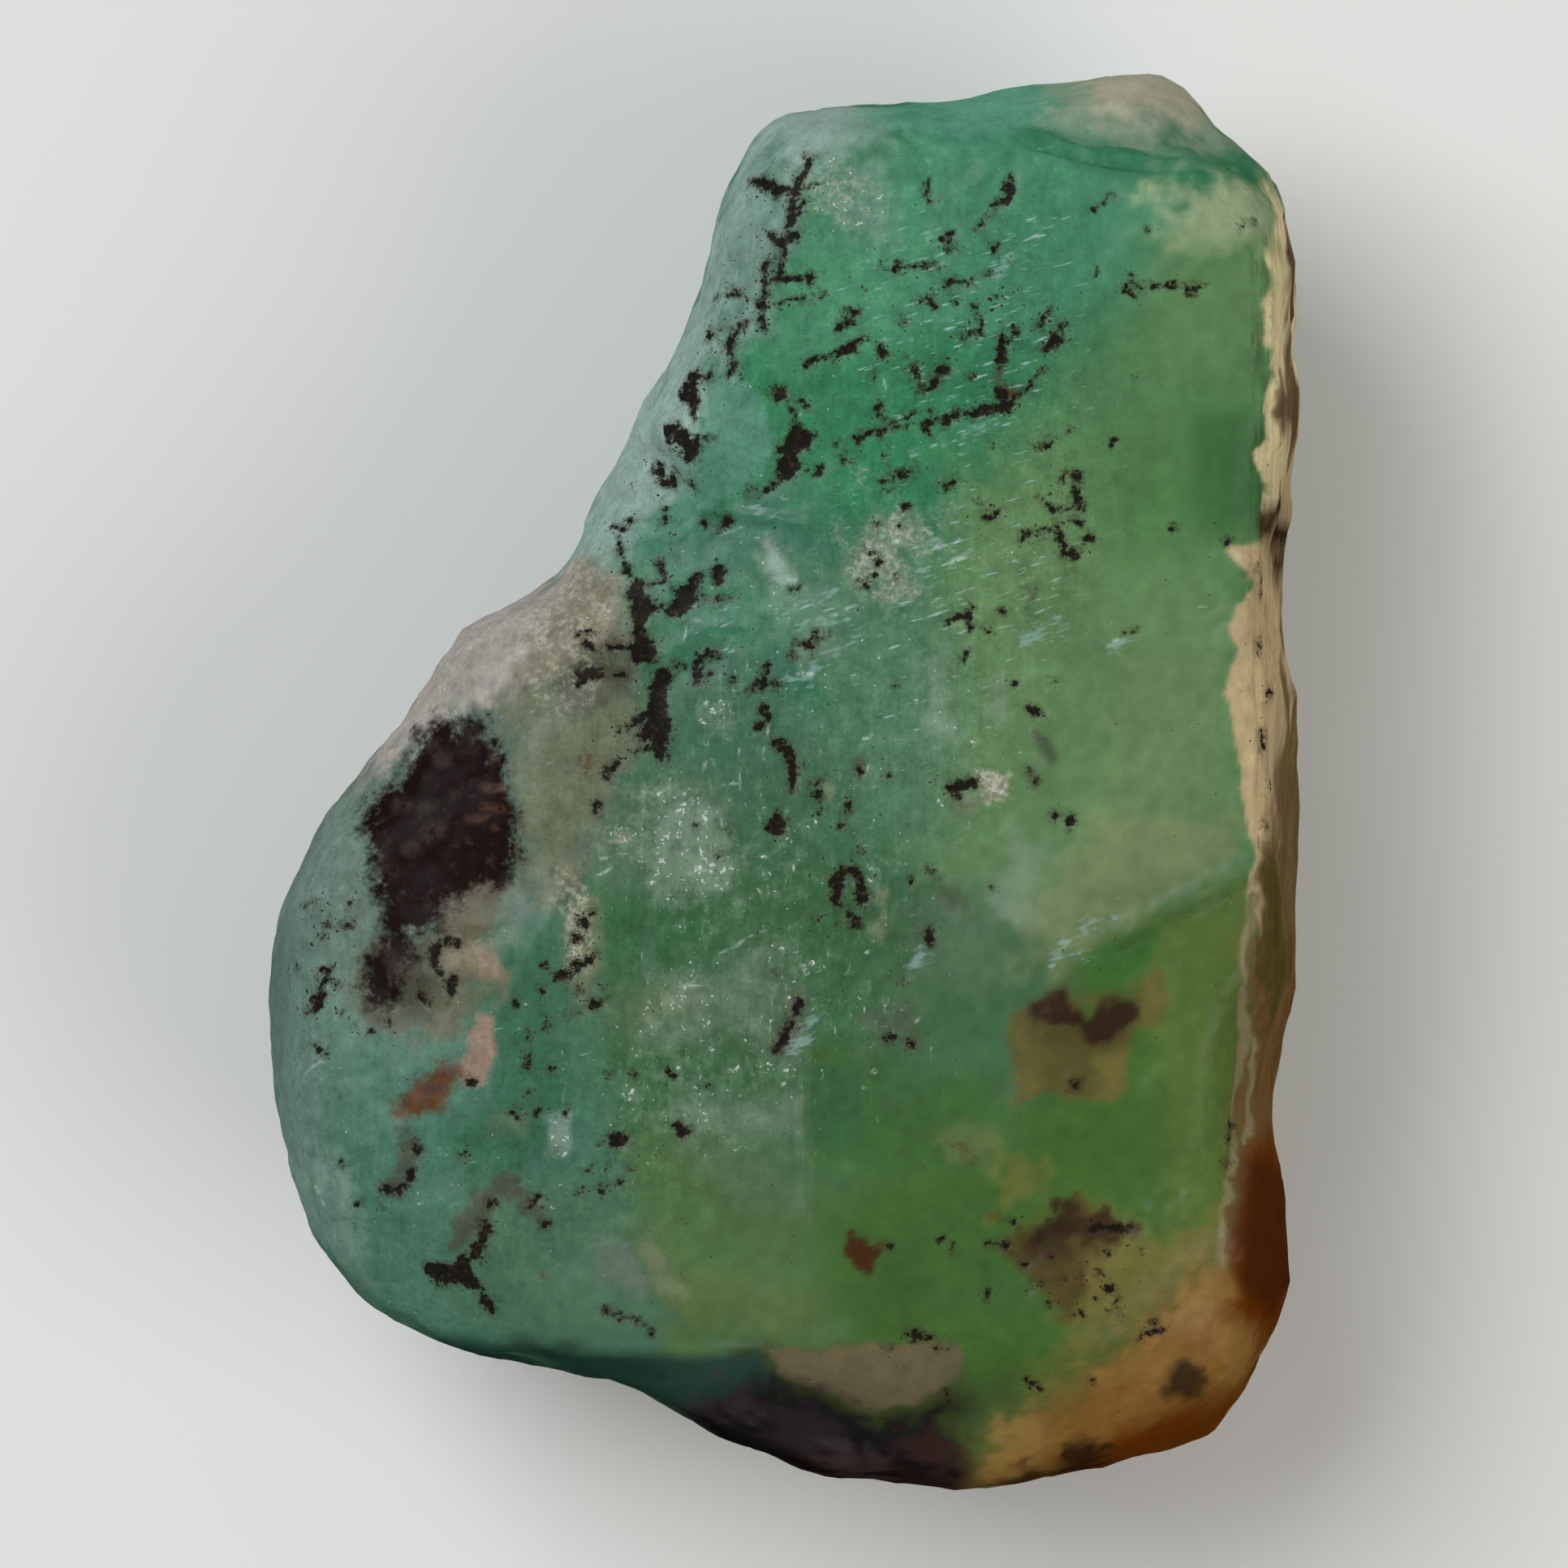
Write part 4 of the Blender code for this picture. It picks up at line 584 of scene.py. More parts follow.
        ((-0.2, 1.06), (0, 0.9), (0.16, 0.7), (0.24, 0.3), (0.26, -0.06)), ((-1.6, 5.3), (-1.6, 4.94)),
        ((-7.4, -12.7), (-7.26, -12.94)), ((-9.8, -10), (-9.4, -9.94)), ((-2.6, -8.4), (-2.5, -8.6)),
        ((-2.84, -7.06), (-2.7, -7.2)), ((7.6, -10.9), (8.5, -10.94)), ((1.38, -2.4), (1.3, -2.95)),
        ((1.62, -3.25), (1.8, -3.5)), ((3.57, -3.6), (3.6, -3.9)), ((0.2, -5.85), (0.1, -6.2)),
        ((-10.8, -3.5), (-10.7, -3.5)), ((-11.4, -5.2), (-11.6, -5.6)), ((-8.6, -4), (-8.6, -4.4)),
        ((-8.2, -4.8), (-8.2, -5.1)), ((-5.6, -4.7), (-5.35, -4.6)),
    ), (
        (3, 6.8), (-1.16, 2.54), (1.92, 4.9), (1.9, 0.3), (6.66, -0.76), (1.55, -0.55), (6.65, -0.8),
        (2.6, -6.2), (2.9, -4.8), (-11, -4.95), (-11.75, -2.95), (-11.3, -3.45), (-7.2, -10.34),
        (-5.96, -10.8), (-6.04, -8.1), (-7.68, -7.36), (7.2, -7.4), (8.04, -12.4), (5.5, -11.4), (3.3, -13.6),
        (10.9, 6),
    )),
    (0.13, (
        ((1.2, -2.4), (1.45, -2.2), (1.7, -2.1), (1.85, -2.3), (1.95, -2.85)), ((0.1, -6.2), (-0.15, -6.45)),
        ((7.1, -0.95), (7.05, -0.9)), ((6.1, 1.85), (6.3, 1.75)), ((-0.45, 1.85), (-0.42, 1.7)),
        ((4.15, -0.15), (4.55, 0)),
    ), (
        (3.15, -6.45), (-1.2, 2.5), (0.83, -0.35), (4.3, -0.3),
    )),
    (0.15, (
        ((-0.3, 14.68), (0.1, 14.64)), ((1.4, 10.64), (1.5, 10.66), (1.7, 10.8)), ((5.3, 9.7), (5.5, 9.24)),
        ((-2.24, 9.7), (-2.3, 9.5), (-2.28, 9.2)), ((6.94, 5.7), (7.22, 5.66)), ((4.2, -0.2), (4.6, 0.06)),
        ((-4.2, -8.8), (-4, -8.74)), ((-7.3, -10.9), (-7.6, -11.6)), ((11.86, 6.22), (11.9, 6.1)),
    ), (
        (-0.56, 11.82), (-1.44, 6.5), (6.2, 1.84), (7.06, -0.94), (-5, -3.36),
    )),
)
# The large dark patch on the lobe.
DARK_PATCH = (
    (-9.1, 1), (-8.9, 1.4), (-8.5, 1.7), (-8.1, 1.5), (-7.8, 1.7), (-7.4, 1.4), (-7.1, 1), (-6.9, 0.4),
    (-6.95, 0), (-6.78, -0.4), (-6.6, -0.7), (-6.6, -1.3), (-6.4, -1.6), (-6.5, -2), (-6.7, -2.4), (-7, -2.6),
    (-7.2, -2.5), (-7.5, -2.6), (-7.7, -2.7), (-8.3, -3.1), (-8.4, -3.5), (-8.8, -3.7), (-9.2, -3.7),
    (-9.1, -4.3), (-9.5, -4.8), (-9.4, -5.2), (-9.8, -5.6), (-10.1, -5.7), (-10.5, -5.1), (-10.3, -4.4),
    (-9.9, -3.7), (-10, -3), (-10.2, -2.5), (-10.2, -1.9), (-10.5, -1.1), (-10.3, -0.5), (-9.8, -0.1),
    (-9.2, 0.7),
)
# Brown and grey stains; then bright spots and pale blue streaks, which are painted glints.
BROWN_STAINS = (
    (0.08, (
        ((-4.84, 0.6), (-4.86, 0.2)), ((-6.1, -12), (-5.96, -12.14)), ((4.1, -8.9), (4.7, -9.2)),
        ((5.1, -10.5), (5.2, -10.6)), ((2.5, 8.75), (2.2, 8.7)), ((3.3, 9.9), (3.6, 9.8)),
    ), ()),
    (0.16, (
        ((-7.4, -0.1), (-7, -0.1)), ((-7.4, -0.55), (-6.95, -0.6)), ((-7.8, -0.85), (-7.4, -0.8)),
        ((5.3, 9.8), (5.6, 9.5)),
    ), (
        (-7.2, 0.7), (-7.6, 1.2), (-7.1, -1.1),
    )),
    (0.36, (((-9.1, -7.85), (-8.7, -7.6)), ((-8.6, -7.5), (-8.35, -7.1))), ()),
)
GREY_STAINS = (
    (0.12, (((5.9, 4.5), (6, 4.8)),), ((2.8, -4.8),)),
    (0.3, (
        ((-9.5, -0.5), (-8.8, -0.6)), ((-9.3, -1.6), (-8.5, -1.1)), ((-8.7, 0.9), (-8.4, 0.6)),
        ((-9.7, -4.3), (-9.5, -4.6)),
    ), (
        (-9.9, -2),
    )),
)
GLINTS = (
    (0.02, (
        ((5.9, 5.3), (5.9, 4.94)), ((-0.38, -3.55), (-1, -3.85), (-1.6, -4.2)),
        ((-1.9, -0.05), (-1.15, 0), (-1.15, 0.2)), ((-0.45, 0.9), (-0.45, 0.4)), ((0.3, 0.7), (0.34, 0.2)),
        ((-0.6, -1.95), (-0.35, -2.6)), ((-1.15, 0.95), (-1.1, 0.7)), ((-2, -4.95), (-2.6, -5)),
        ((1.5, -4.7), (1.7, -4.2)), ((2.05, -5.2), (2.1, -4.9)), ((-2.4, -2.25), (-1.9, -2.1)),
        ((-0.9, 3.1), (-0.9, 2.7)), ((10.2, 4.36), (10.4, 4.4)), ((-2.4, 3.9), (-2.4, 3.5)),
        ((-4.5, -1.9), (-3.9, -1.7)), ((-4.6, -2.2), (-4.2, -2.05)), ((-7.1, -3.5), (-6.9, -3.55)),
        ((-5.4, -7.9), (-5.4, -6.6)), ((-11.4, -9.9), (-11.2, -10.4)), ((-11.8, -7.1), (-11.3, -6.8)),
    ), (
        (-2.76, 1.94), (-0.8, -7.84), (6.64, 6.94), (6.1, 4.6), (3.5, 4.58), (-10, -6.64), (-2.45, 2.4),
        (1.7, -1.25), (0.65, -1.75), (-1.3, 1.7), (-1.5, -6.7), (0.7, -3.8), (1.4, -6.1), (-2.9, -4.9),
        (-2.2, -4.4), (-2.6, -1.3), (-2.9, 2.9), (-1.3, 2.85), (-0.55, 2.2), (-2.5, 0.3), (-0.5, 0.6),
        (-1.2, 5.6), (-1.85, 4.05), (1.8, 4.15), (-7.3, 3.1), (-6.9, 3.4), (-9.3, 1.3), (-5.6, 3.05),
        (-4.15, -0.1), (-9.7, -0.8), (-12.1, -3.2), (-5.5, 1.4), (-4.5, 1.6), (-7.2, -7.5), (-6, -11.3),
        (-2.6, -9.9), (-1.9, -9.2),
    )),
    (0.035, (
        ((1.1, 4.1), (1.3, 4.15)), ((1.5, 4.3), (1.6, 4.34)), ((0.1, 5.05), (0.34, 5.1)),
        ((0.86, 0.95), (0.86, 0.75)), ((-0.42, 1.45), (-0.42, 1.2)), ((-1.95, 0.55), (-1.95, 0.35)),
        ((8.1, 3.5), (8.3, 3.55)), ((3.65, 5.8), (4.3, 6)), ((4, 5.45), (4.5, 5.6)), ((1.9, 1.1), (2.2, 1.2)),
        ((0.45, -4.45), (0.55, -4.7)),
    ), (
        (-0.15, 4.1), (0.9, 5.4), (3.45, 4.56), (-2.45, 4.02), (0.4, 9.1), (-7.65, 3), (-8.55, 2.75),
        (-9.7, 0.85), (-5.2, -3.1), (-9.2, -3.7), (3.6, 6.2), (3.75, 6.05), (-0.2, 2.2), (2.15, -6.5),
        (-11.5, -9.9),
    )),
    (0.055, (
        ((-2.3, -0.4), (-2.3, -0.5)), ((0.3, 2.68), (0.74, 2.72)),
    ), (
        (-11.4, -10.05), (-0.7, 6.06), (2.7, 6), (2.85, 6.05), (-7.7, 3.35), (-7.1, 2.4), (-10.1, 0.5),
        (2.04, -4.13), (-0.02, -7.42), (2.2, -7.05), (2, -7.48), (3.28, -5.82), (-3.25, -5.35), (-1.88, 1.98),
    )),
    (0.075, (), ((5.4, -0.22),)),
)
BLUE_GLINT_STREAKS = (
    (0.1, (
        ((3.4, 5.3), (4.6, 5.7)), ((-2.3, 3.9), (-1.7, 4.1)), ((0.4, 3.8), (1.7, 4.3)),
        ((0.4, 4.45), (1.2, 4.6)), ((3.2, 8.1), (4, 8.4)), ((4.4, 8.7), (5.2, 8.95)),
        ((-0.6, 6.75), (0.1, 6.9)), ((-1.7, 6.1), (-1.1, 6.3)), ((8, 3.4), (8.6, 3.6)),
        ((5.2, 12.6), (5.6, 13)), ((3.3, 13.4), (3.8, 13.6)),
    ), ()),
    (0.14, (
        ((6.9, -3.9), (7.5, -4.3)), ((6.7, -4.4), (6.9, -4.1)), ((-0.2, 5.5), (0, 5.2)),
        ((3.6, 6), (4.2, 5.7)), ((5.9, 3.5), (6.7, 4)), ((0.2, 2.6), (0.7, 2.75)), ((3.1, -4.7), (3.4, -4.2)),
        ((0.3, -6.6), (0.8, -5.5)), ((1.2, 3.2), (1.8, 3.6)), ((7.4, -3.6), (8.2, -3.2)),
    ), ()),
)

# Where small things are strewn, in mm: strength, soft edge, outline.
DUSTY = (
    (1.0, 1.0, ((-2, 15.3), (0.6, 15.3), (0.6, 9.7), (-2.2, 9.7))),
    (0.8, 1.4, ((-4.8, 7.3), (-0.2, 7.3), (-0.2, 0.1), (-4.8, 0.1))),
    (0.9, 1.4, ((1.6, 12.7), (7.2, 12.7), (7.2, 9.3), (1.6, 9.3))),
    (1.0, 1.0, ((-12.6, -2.7), (-10.4, -2.7), (-10.6, -7.1), (-12.6, -7.1))),
    (0.9, 0.8, ((-5.8, -2.4), (-4.4, -2.6), (-4.6, -5.8), (-5.8, -5.8))),
    (0.7, 1.0, ((5.6, -10.6), (9, -10.6), (8.8, -13.2), (6.2, -13.2))),
    (0.6, 1.2, ((2, 8.9), (7.6, 8.9), (7.6, 5.3), (2, 5.3))),
    (0.6, 1.4, ((-2, 3.4), (2.6, 3), (2.6, -4.6), (-1.6, -4.6))),
    (0.5, 2.0, ((-10.6, -3.7), (-3.2, -6.7), (-3.2, -12.7), (-9.6, -12.7))),
)
BUSY = (
    (1.0, 2.0, ((-13, 17), (7.6, 16), (8, 6), (1.6, -7.4), (-2, -10.5), (-9, -14), (-13, -9))),
)
# Where the painted glint flecks lie in rows, then where they stand upright.
GLINT_ROWS = (
    (0.9, 1.0, ((1.6, 13.5), (7.4, 14.7), (7.8, 9.2), (2, 8))),
    (0.8, 1.0, ((-2.4, 4.7), (1.8, 4.9), (1.8, 3.5), (-2.4, 3.3))),
    (0.9, 1.0, ((3, 9), (5.8, 9.4), (5.8, 7.9), (3, 7.5))),
    (0.9, 1.0, ((2.8, 6.6), (7.6, 6.6), (7.6, 3.2), (2.8, 3.2))),
    (0.5, 2.0, ((-0.6, 7.3), (11.2, 12.9), (11.2, 2.3), (3, -1.7))),
)
UPRIGHT_GLINTS = (
    (1.0, 1.2, ((-2.8, 3.5), (0.6, 3.3), (0.6, -1.7), (-2.8, -1.7))),
    (0.8, 1.0, ((2.4, 11.7), (3.4, 11.7), (3.4, 6.7), (2.4, 6.7))),
    (0.6, 2.0, ((-3.6, -1.7), (4.6, -2.7), (3.6, -8.7), (-4.6, -9.7))),
    (0.5, 1.0, ((3.4, 4.7), (5.4, 4.7), (5.2, -0.7), (3.4, -0.7))),
)
# Narrow ledges that stand out, or open as grooves below zero: height, half width, points.
LEDGES = (
    (0.10, 0.2, ((9.4, 15), (11.4, 14.9))),
    (-0.12, 0.1, ((5.6, 15.7), (7.6, 15.15), (9.4, 14.9), (11.4, 14.8))),
    (0.12, 0.35, ((11.5, -1.9), (10.6, -2.4), (8.2, -3.6))),
    (0.10, 0.2, ((-12, -7.3), (-11.4, -9.5), (-10.6, -11.7), (-9.8, -12.7))),
    (0.08, 0.15, ((0.46, -6.2), (0.54, -10.6))),
    (0.10, 0.2, ((-8.6, -13.4), (-7, -13.7), (-6.4, -13.9), (-2.4, -13.8), (-0.4, -13.8))),
    (-0.10, 0.12, ((10.9, -9.6), (11, -8.4), (11.1, -7.4), (11.08, -6), (11.2, -5))),
    (0.08, 0.12, ((-2.1, 9.9), (-2.1, 6.7), (-0.3, 6.5), (0.6, 6.3))),
)

# The fields of the stone, by name: from strokes, from what is strewn, and from the clouds of the washes.
STROKES = {"brown": BROWN_STAINS, "grey": GREY_STAINS, "glints": GLINTS, "blue_glints": BLUE_GLINT_STREAKS}
STREWN = {"dust": DUSTY, "rows": GLINT_ROWS, "upright_glints": UPRIGHT_GLINTS}
CLOUDS = {"milk": MILKS, "crust": CRUSTS}


# ---------------------------------------------------------------- drawing, in mm, over many points at once
def nearest_edge(spots, start, end):
    """How far each spot lies from the straight edge between two points."""
    (ax, ay), (bx, by) = start, end
    across, along = spots[:, 0] - ax, spots[:, 1] - ay
    squared_length = max((bx - ax) ** 2 + (by - ay) ** 2, TINY)
    share = np.clip((across * (bx - ax) + along * (by - ay)) / squared_length, 0, 1)
    return np.hypot((bx - ax) * share - across, (by - ay) * share - along)


def depth_inside(outline, spots):
    """How far each spot lies inside a closed outline. Below zero it lies outside."""
    inside = np.zeros(len(spots), bool)
    nearest = np.full(len(spots), FAR)
    x, y = spots[:, 0], spots[:, 1]
    for (ax, ay), (bx, by) in zip(outline, outline[1:] + outline[:1]):
        nearest = np.minimum(nearest, nearest_edge(spots, (ax, ay), (bx, by)))
        if ay != by:
            inside ^= ((ay > y) != (by > y)) & (x < ax + (bx - ax) * (y - ay) / (by - ay))
    return np.where(inside, nearest, -nearest)


def beyond_trails(rows, spots):
    """How far each spot lies outside the nearest trail or dot. Below zero it lies on one."""
    nearest = np.full(len(spots), FAR)
    for half_width, trails, dots in rows:
        edges = [edge for trail in trails for edge in zip(trail, trail[1:])] + [(dot, dot) for dot in dots]
        for start, end in edges:
            nearest = np.minimum(nearest, nearest_edge(spots, start, end) - half_width)
    return nearest


def rising(low, high, values):
    """0 below low, 1 above high, smooth between. With low above high it falls."""
    share = np.clip((values - low) / (high - low), 0, 1)
    return share * share * (3 - 2 * share)


def strewn(zones, spots, rough=0.0):
    """The strongest of the zones at each spot, from 0 to 1."""
    total = np.zeros(len(spots))
    for strength, soft, outline in zones:
        total = np.maximum(total, strength * rising(-soft, soft, depth_inside(outline, spots) + rough * soft))
    return total


def noise_at(places, scale, shift=0.0, octaves=3):
    """Smooth noise from about -1 to 1, in waves about 1 / scale mm long. Each shift gives other waves."""
    turn = Vector((shift, -shift, shift * 0.5))
    return np.array([noise.fractal(Vector(place) * scale + turn, FADING, FINER, octaves) for place in places])


def painted_washes(spots, rough):
    """The washes laid one over another at each spot."""
    painted = np.tile(np.array(EMERALD), (len(spots), 1))
    for colour, strength, soft, ragged, outline in WASHES:
        share = strength * rising(-soft / 2, soft / 2, depth_inside(outline, spots) + ragged * rough)
        painted += (np.array(colour) - painted) * share[:, None]
    cream = rising(*CREAM_FADE, beyond_trails(CREAM_LINES, spots) + CREAM_RAGGED * rough)
    return painted + (np.array(CREAM) - painted) * cream[:, None]


def drawn_colours(outward, washed, side, broad, fine):
    """The washes at each point, lighter and darker with the noise, with painted shade on the walls and at the
    lower end.
    """
    colours = painted_washes(washed, broad * 0.9 + fine * 0.7)
    colours *= (1 + (0.12 + 0.16 * side) * broad + (0.14 + 0.2 * side) * fine)[:, None]
    # Painted shade: the walls are darkened a little in the colour, and the lower end much more.
    shade = WALL_SHADE + END_SHADE * rising(0.0, 0.8, outward @ LOWER_END)
    return colours * (1 - shade * (1 - rising(0.0, 0.6, outward[:, 2])))[:, None]


def drawn_fields(places, outward):
    """What the material and the relief need to know at each point, by name, and the colour there."""
    broad, fine = noise_at(places, 0.5, 4.0, 4), noise_at(places, 2.4, 9.0, 3)
    seen = rising(*SEEN_TILT, outward[:, 2]) * rising(*SEEN_HEIGHT, places[:, 2])
    hidden = (1 - seen) * OUT_OF_REACH
    side = rising(*SIDE_TILT, outward[:, 2])
    spots = places[:, :2] * (1 + (places[:, 2:] - FOCUS) / EYE_HEIGHT)
    bent = spots + np.stack([fine, noise_at(places, 2.0, 15.0, 3)], 1) * MARK_BEND
    washed = spots + np.stack([broad, noise_at(places, 0.5, 21.0, 3)], 1) * WASH_BEND
    wander = np.stack([noise_at(places, 0.3, 33.0, 3), noise_at(places, 0.3, 41.0, 3)], 1)
    wander[:, 0] *= rising(*RIGHT_WALL, outward[:, 0])
    inward = outward[:, :2] * rising(*LOW_DOWN, places[:, 2])[:, None] * SIDE_STEP
    washed += (wander * SIDE_WANDER - inward) * side[:, None]
    colours = drawn_colours(outward, washed, side, broad, fine)
    marks = np.minimum.reduce(
        [-depth_inside(outline, bent) for outline in BLOTCHES] + [beyond_trails(TWIGS, bent)])
    strays = (SIDE_MICA - noise_at(places, 0.55, 51.0, 4)) * 1.5 + (1 - side) * OUT_OF_REACH
    fields = {name: beyond_trails(rows, bent) + hidden for name, rows in STROKES.items()}
    fields |= {name: strewn(zones, spots) * seen for name, zones in STREWN.items()}
    fields |= {name: strewn(zones, washed, broad) * seen for name, zones in CLOUDS.items()}
    fields |= {
        "marks": np.minimum(marks + hidden, strays),
        "patches": hidden - depth_inside(DARK_PATCH, bent),
        "busy": strewn(BUSY, spots),
        "gloss": GLOSS * rising(*GLOSS_TILT, outward[:, 2]),
        "rind": rising(*RIND_X, spots[:, 0] + RIND_RAGGED * fine) * rising(*RIND_Y, spots[:, 1]),
    }
    fields["dust"] += rising(*STRAY_DUST, broad) * (1 - seen)
    return {name: np.clip(values, -2, 2) for name, values in fields.items()}, colours, seen


# ---------------------------------------------------------------- the mesh
def linked(name, data):
    """A new object in the scene."""
    obj = bpy.data.objects.new(name, data)
    bpy.context.scene.collection.objects.link(obj)
    return obj


def evaluated_shape(obj):
    bpy.context.view_layer.update()
    shape = bmesh.new()
    shape.from_object(obj, bpy.context.evaluated_depsgraph_get())
    return shape


def smooth(stone, points):
    for _ in range(SMOOTHINGS):
        bmesh.ops.smooth_vert(
            stone, verts=points, factor=0.5, use_axis_x=True, use_axis_y=True, use_axis_z=True)


def even_stone(cad):
    """The CAD stone in even faces, with its facets' low steps softened."""
    rough = bmesh.new()
    rough.from_mesh(cad.data)
    bmesh.ops.remove_doubles(rough, verts=rough.verts, dist=WELD * MM)
    mesh = bpy.data.meshes.new("blank")
    rough.to_mesh(mesh)
    rough.free()
    blank = linked("blank", mesh)
    even = blank.modifiers.new("even faces", "REMESH")
    even.mode, even.voxel_size = "VOXEL", EVEN_FACE * MM
    stone = evaluated_shape(blank)
    bpy.data.objects.remove(blank)
    smooth(stone, list(stone.verts))
    return stone


def refine_upper_side(stone):
    """More and smaller faces where the flakes and the painted glint flecks lie."""
    stone.normal_update()
    upper = [f for f in stone.faces
             if f.normal.z > UPPER_TILT and f.calc_center_median().z > UPPER_FLOOR * MM]
    edges = list({edge for face in upper for edge in face.edges})
    bmesh.ops.subdivide_edges(stone, edges=edges, cuts=UPPER_CUTS, use_grid_fill=True)
    stone.normal_update()
    smooth(stone, [p for p in stone.verts if p.normal.z > UPPER_TILT and p.co.z > UPPER_FLOOR * MM])
    bmesh.ops.triangulate(stone, faces=[f for f in stone.faces if len(f.verts) > 4])


def carve_relief(stone):
    """The fine relief. It gives back what was drawn at each point."""
    stone.normal_update()
    places = np.array([point.co for point in stone.verts]) / MM
    outward = np.array([point.normal for point in stone.verts])
    fields, colours, seen = drawn_fields(places, outward)
    spots = places[:, :2]
    flat = rising(*FLAT_TILT, outward[:, 2])
    fullness = EDGE_FULLNESS + TOP_FULLNESS * rising(*TOP_END, spots[:, 1])
    height = GRAIN * noise_at(places, 1.6, 5.0) * flat
    height += SIDE_GRAIN * noise_at(places, 0.6, 8.0, 3) * (1 - flat)
    height += fullness * (1 - flat)
    height += RIND_FIBRE * noise_at(places * FIBRE_STRETCH, 1.0, 2.0) * fields["rind"]
    height -= MICA_SINK * rising(*MICA_RIM, np.minimum(fields["marks"], fields["patches"]))
    for rise, half_width, points in LEDGES:
        away = beyond_trails(((0.0, (points,), ()),), spots)
        height += rise * rising(half_width * LEDGE_SLOPE, 0.0, away) * seen
    height *= rising(*FOOT, places[:, 2])
    for point, side, rise in zip(stone.verts, outward, height):
        point.co += Vector(side) * float(rise) * MM
        point.co.z = max(point.co.z, 0.0)
    return fields, colours


def dressed_stone(cad):
    stone = even_stone(cad)
    refine_upper_side(stone)
    fields, colours = carve_relief(stone)
    mesh = bpy.data.meshes.new("dressed_emerald")
    stone.to_mesh(mesh)
    stone.free()
    for name, values in fields.items():
        mesh.attributes.new(name, "FLOAT", "POINT").data.foreach_set("value", values.astype(np.float32))
    tint = np.ones((len(colours), 4), np.float32)
    tint[:, :3] = np.clip(colours, 0, 1)
    mesh.attributes.new("tint", "FLOAT_COLOR", "POINT").data.foreach_set("color", tint.ravel())
    mesh.polygons.foreach_set("use_smooth", [True] * len(mesh.polygons))
    return linked("dressed_emerald", mesh)


# ---------------------------------------------------------------- shader maths as Python expressions
class Socket:
    """A shader value. Arithmetic on it adds the Math nodes."""

    def __init__(self, maker, link):
        self.maker, self.link = maker, link

    def math(self, operation, *others):
        return self.maker.node("Math", {"operation": operation}, {0: self, **dict(enumerate(others, 1))})

    def __add__(self, other):
        return self.math("ADD", other)

    def __sub__(self, other):
        return self.math("SUBTRACT", other)

    def __rsub__(self, other):
        return self.maker.node("Math", {"operation": "SUBTRACT"}, {0: other, 1: self})

    def __mul__(self, other):
        return self.math("MULTIPLY", other)

    __radd__ = __add__
    __rmul__ = __mul__

    def least(self, other):
        return self.math("MINIMUM", other)

    def most(self, other):
        return self.math("MAXIMUM", other)

    def sway(self, amount):
        """Noise from 0 to 1 turned into a swing round 0, half the amount either way."""
        return (self - 0.5) * amount

    def rising(self, low, high):
        """0 below low, 1 above high, smooth between. With low above high it falls."""
        settings = {"interpolation_type": "SMOOTHSTEP"}
        return self.maker.node("MapRange", settings, {0: self, 1: low, 2: high, 3: 0.0, 4: 1.0})


class Maker:
    """Adds nodes to one material."""

    def __init__(self, name):
        self.material = bpy.data.materials.new(name)
        self.material.use_nodes = True
        self.tree = self.material.node_tree
        self.tree.nodes.clear()

    def node(self, kind, settings=None, values=None, output=0):
        made = self.tree.nodes.new("ShaderNode" + kind)
        for setting, value in (settings or {}).items():
            setattr(made, setting, value)
        for key, value in (values or {}).items():
            if isinstance(value, Socket):
                self.tree.links.new(value.link, made.inputs[key])
            else:
                made.inputs[key].default_value = value
        return Socket(self, made.outputs[output]) if made.outputs else None

    def field(self, name, output="Fac"):
        return self.node("Attribute", {"attribute_name": name}, output=output)

    def mix(self, share, low, high):
        """One colour turning into another."""
        low, high = (c if isinstance(c, Socket) else (*c, 1) for c in (low, high))
        return self.node("Mix", {"data_type": "RGBA"}, {0: share, 6: low, 7: high}, output=2)

    def scaled(self, vector, factors):
        return self.node("VectorMath", {"operation": "MULTIPLY"}, {0: vector, 1: factors})

    def noise(self, place, scale, detail=3.0, roughness=0.6):
        """Noise from 0 to 1 over a place in mm."""
        values = {"Vector": place, "Scale": scale, "Detail": detail, "Roughness": roughness}
        return self.node("TexNoise", None, values)

    def surface(self, values, settings=None):
        """The shader, and the end of the material."""
        shader = self.node("BsdfPrincipled", settings, values)
        self.node("OutputMaterial", None, {"Surface": shader})


# ---------------------------------------------------------------- the material
def emerald_material():
    m = Maker("rough emerald")
    place = m.scaled(m.node("TexCoord", output="Object"), (1 / MM,) * 3)
    mottle = m.noise(place, MOTTLE_WAVES, 4.0, COARSE)
    grain = m.noise(place, GRAIN_WAVES, 3.0, COARSE)
    upright = m.noise(m.scaled(place, UPRIGHT_WAVES), 1.0, 3.0, COARSE)
    fibre = m.noise(m.scaled(place, FIBRE_WAVES), 1.0)
    rind, busy = m.field("rind"), m.field("busy")
    shade = mottle.sway(busy * 0.6 + 0.25) + grain.sway(busy * 0.6 + 0.1)
    shade = shade + upright.sway(busy * 0.5) + fibre.sway(rind * 1.3) + 1.0
    colour = m.node("VectorMath", {"operation": "SCALE"}, {0: m.field("tint", "Color"), "Scale": shade})
    colour = m.mix(fibre.rising(0.6, 0.7) * rind * 0.5, colour, RED_BROWN)
    colour = clouded(m, colour, busy, mottle, grain, upright)
    colour = painted_glints(m, colour, place, busy, mottle, grain, upright)
    colour, mica = marked(m, colour, mottle, grain)
    finish(m, colour, place, mica, rind, mottle)
    return m.material


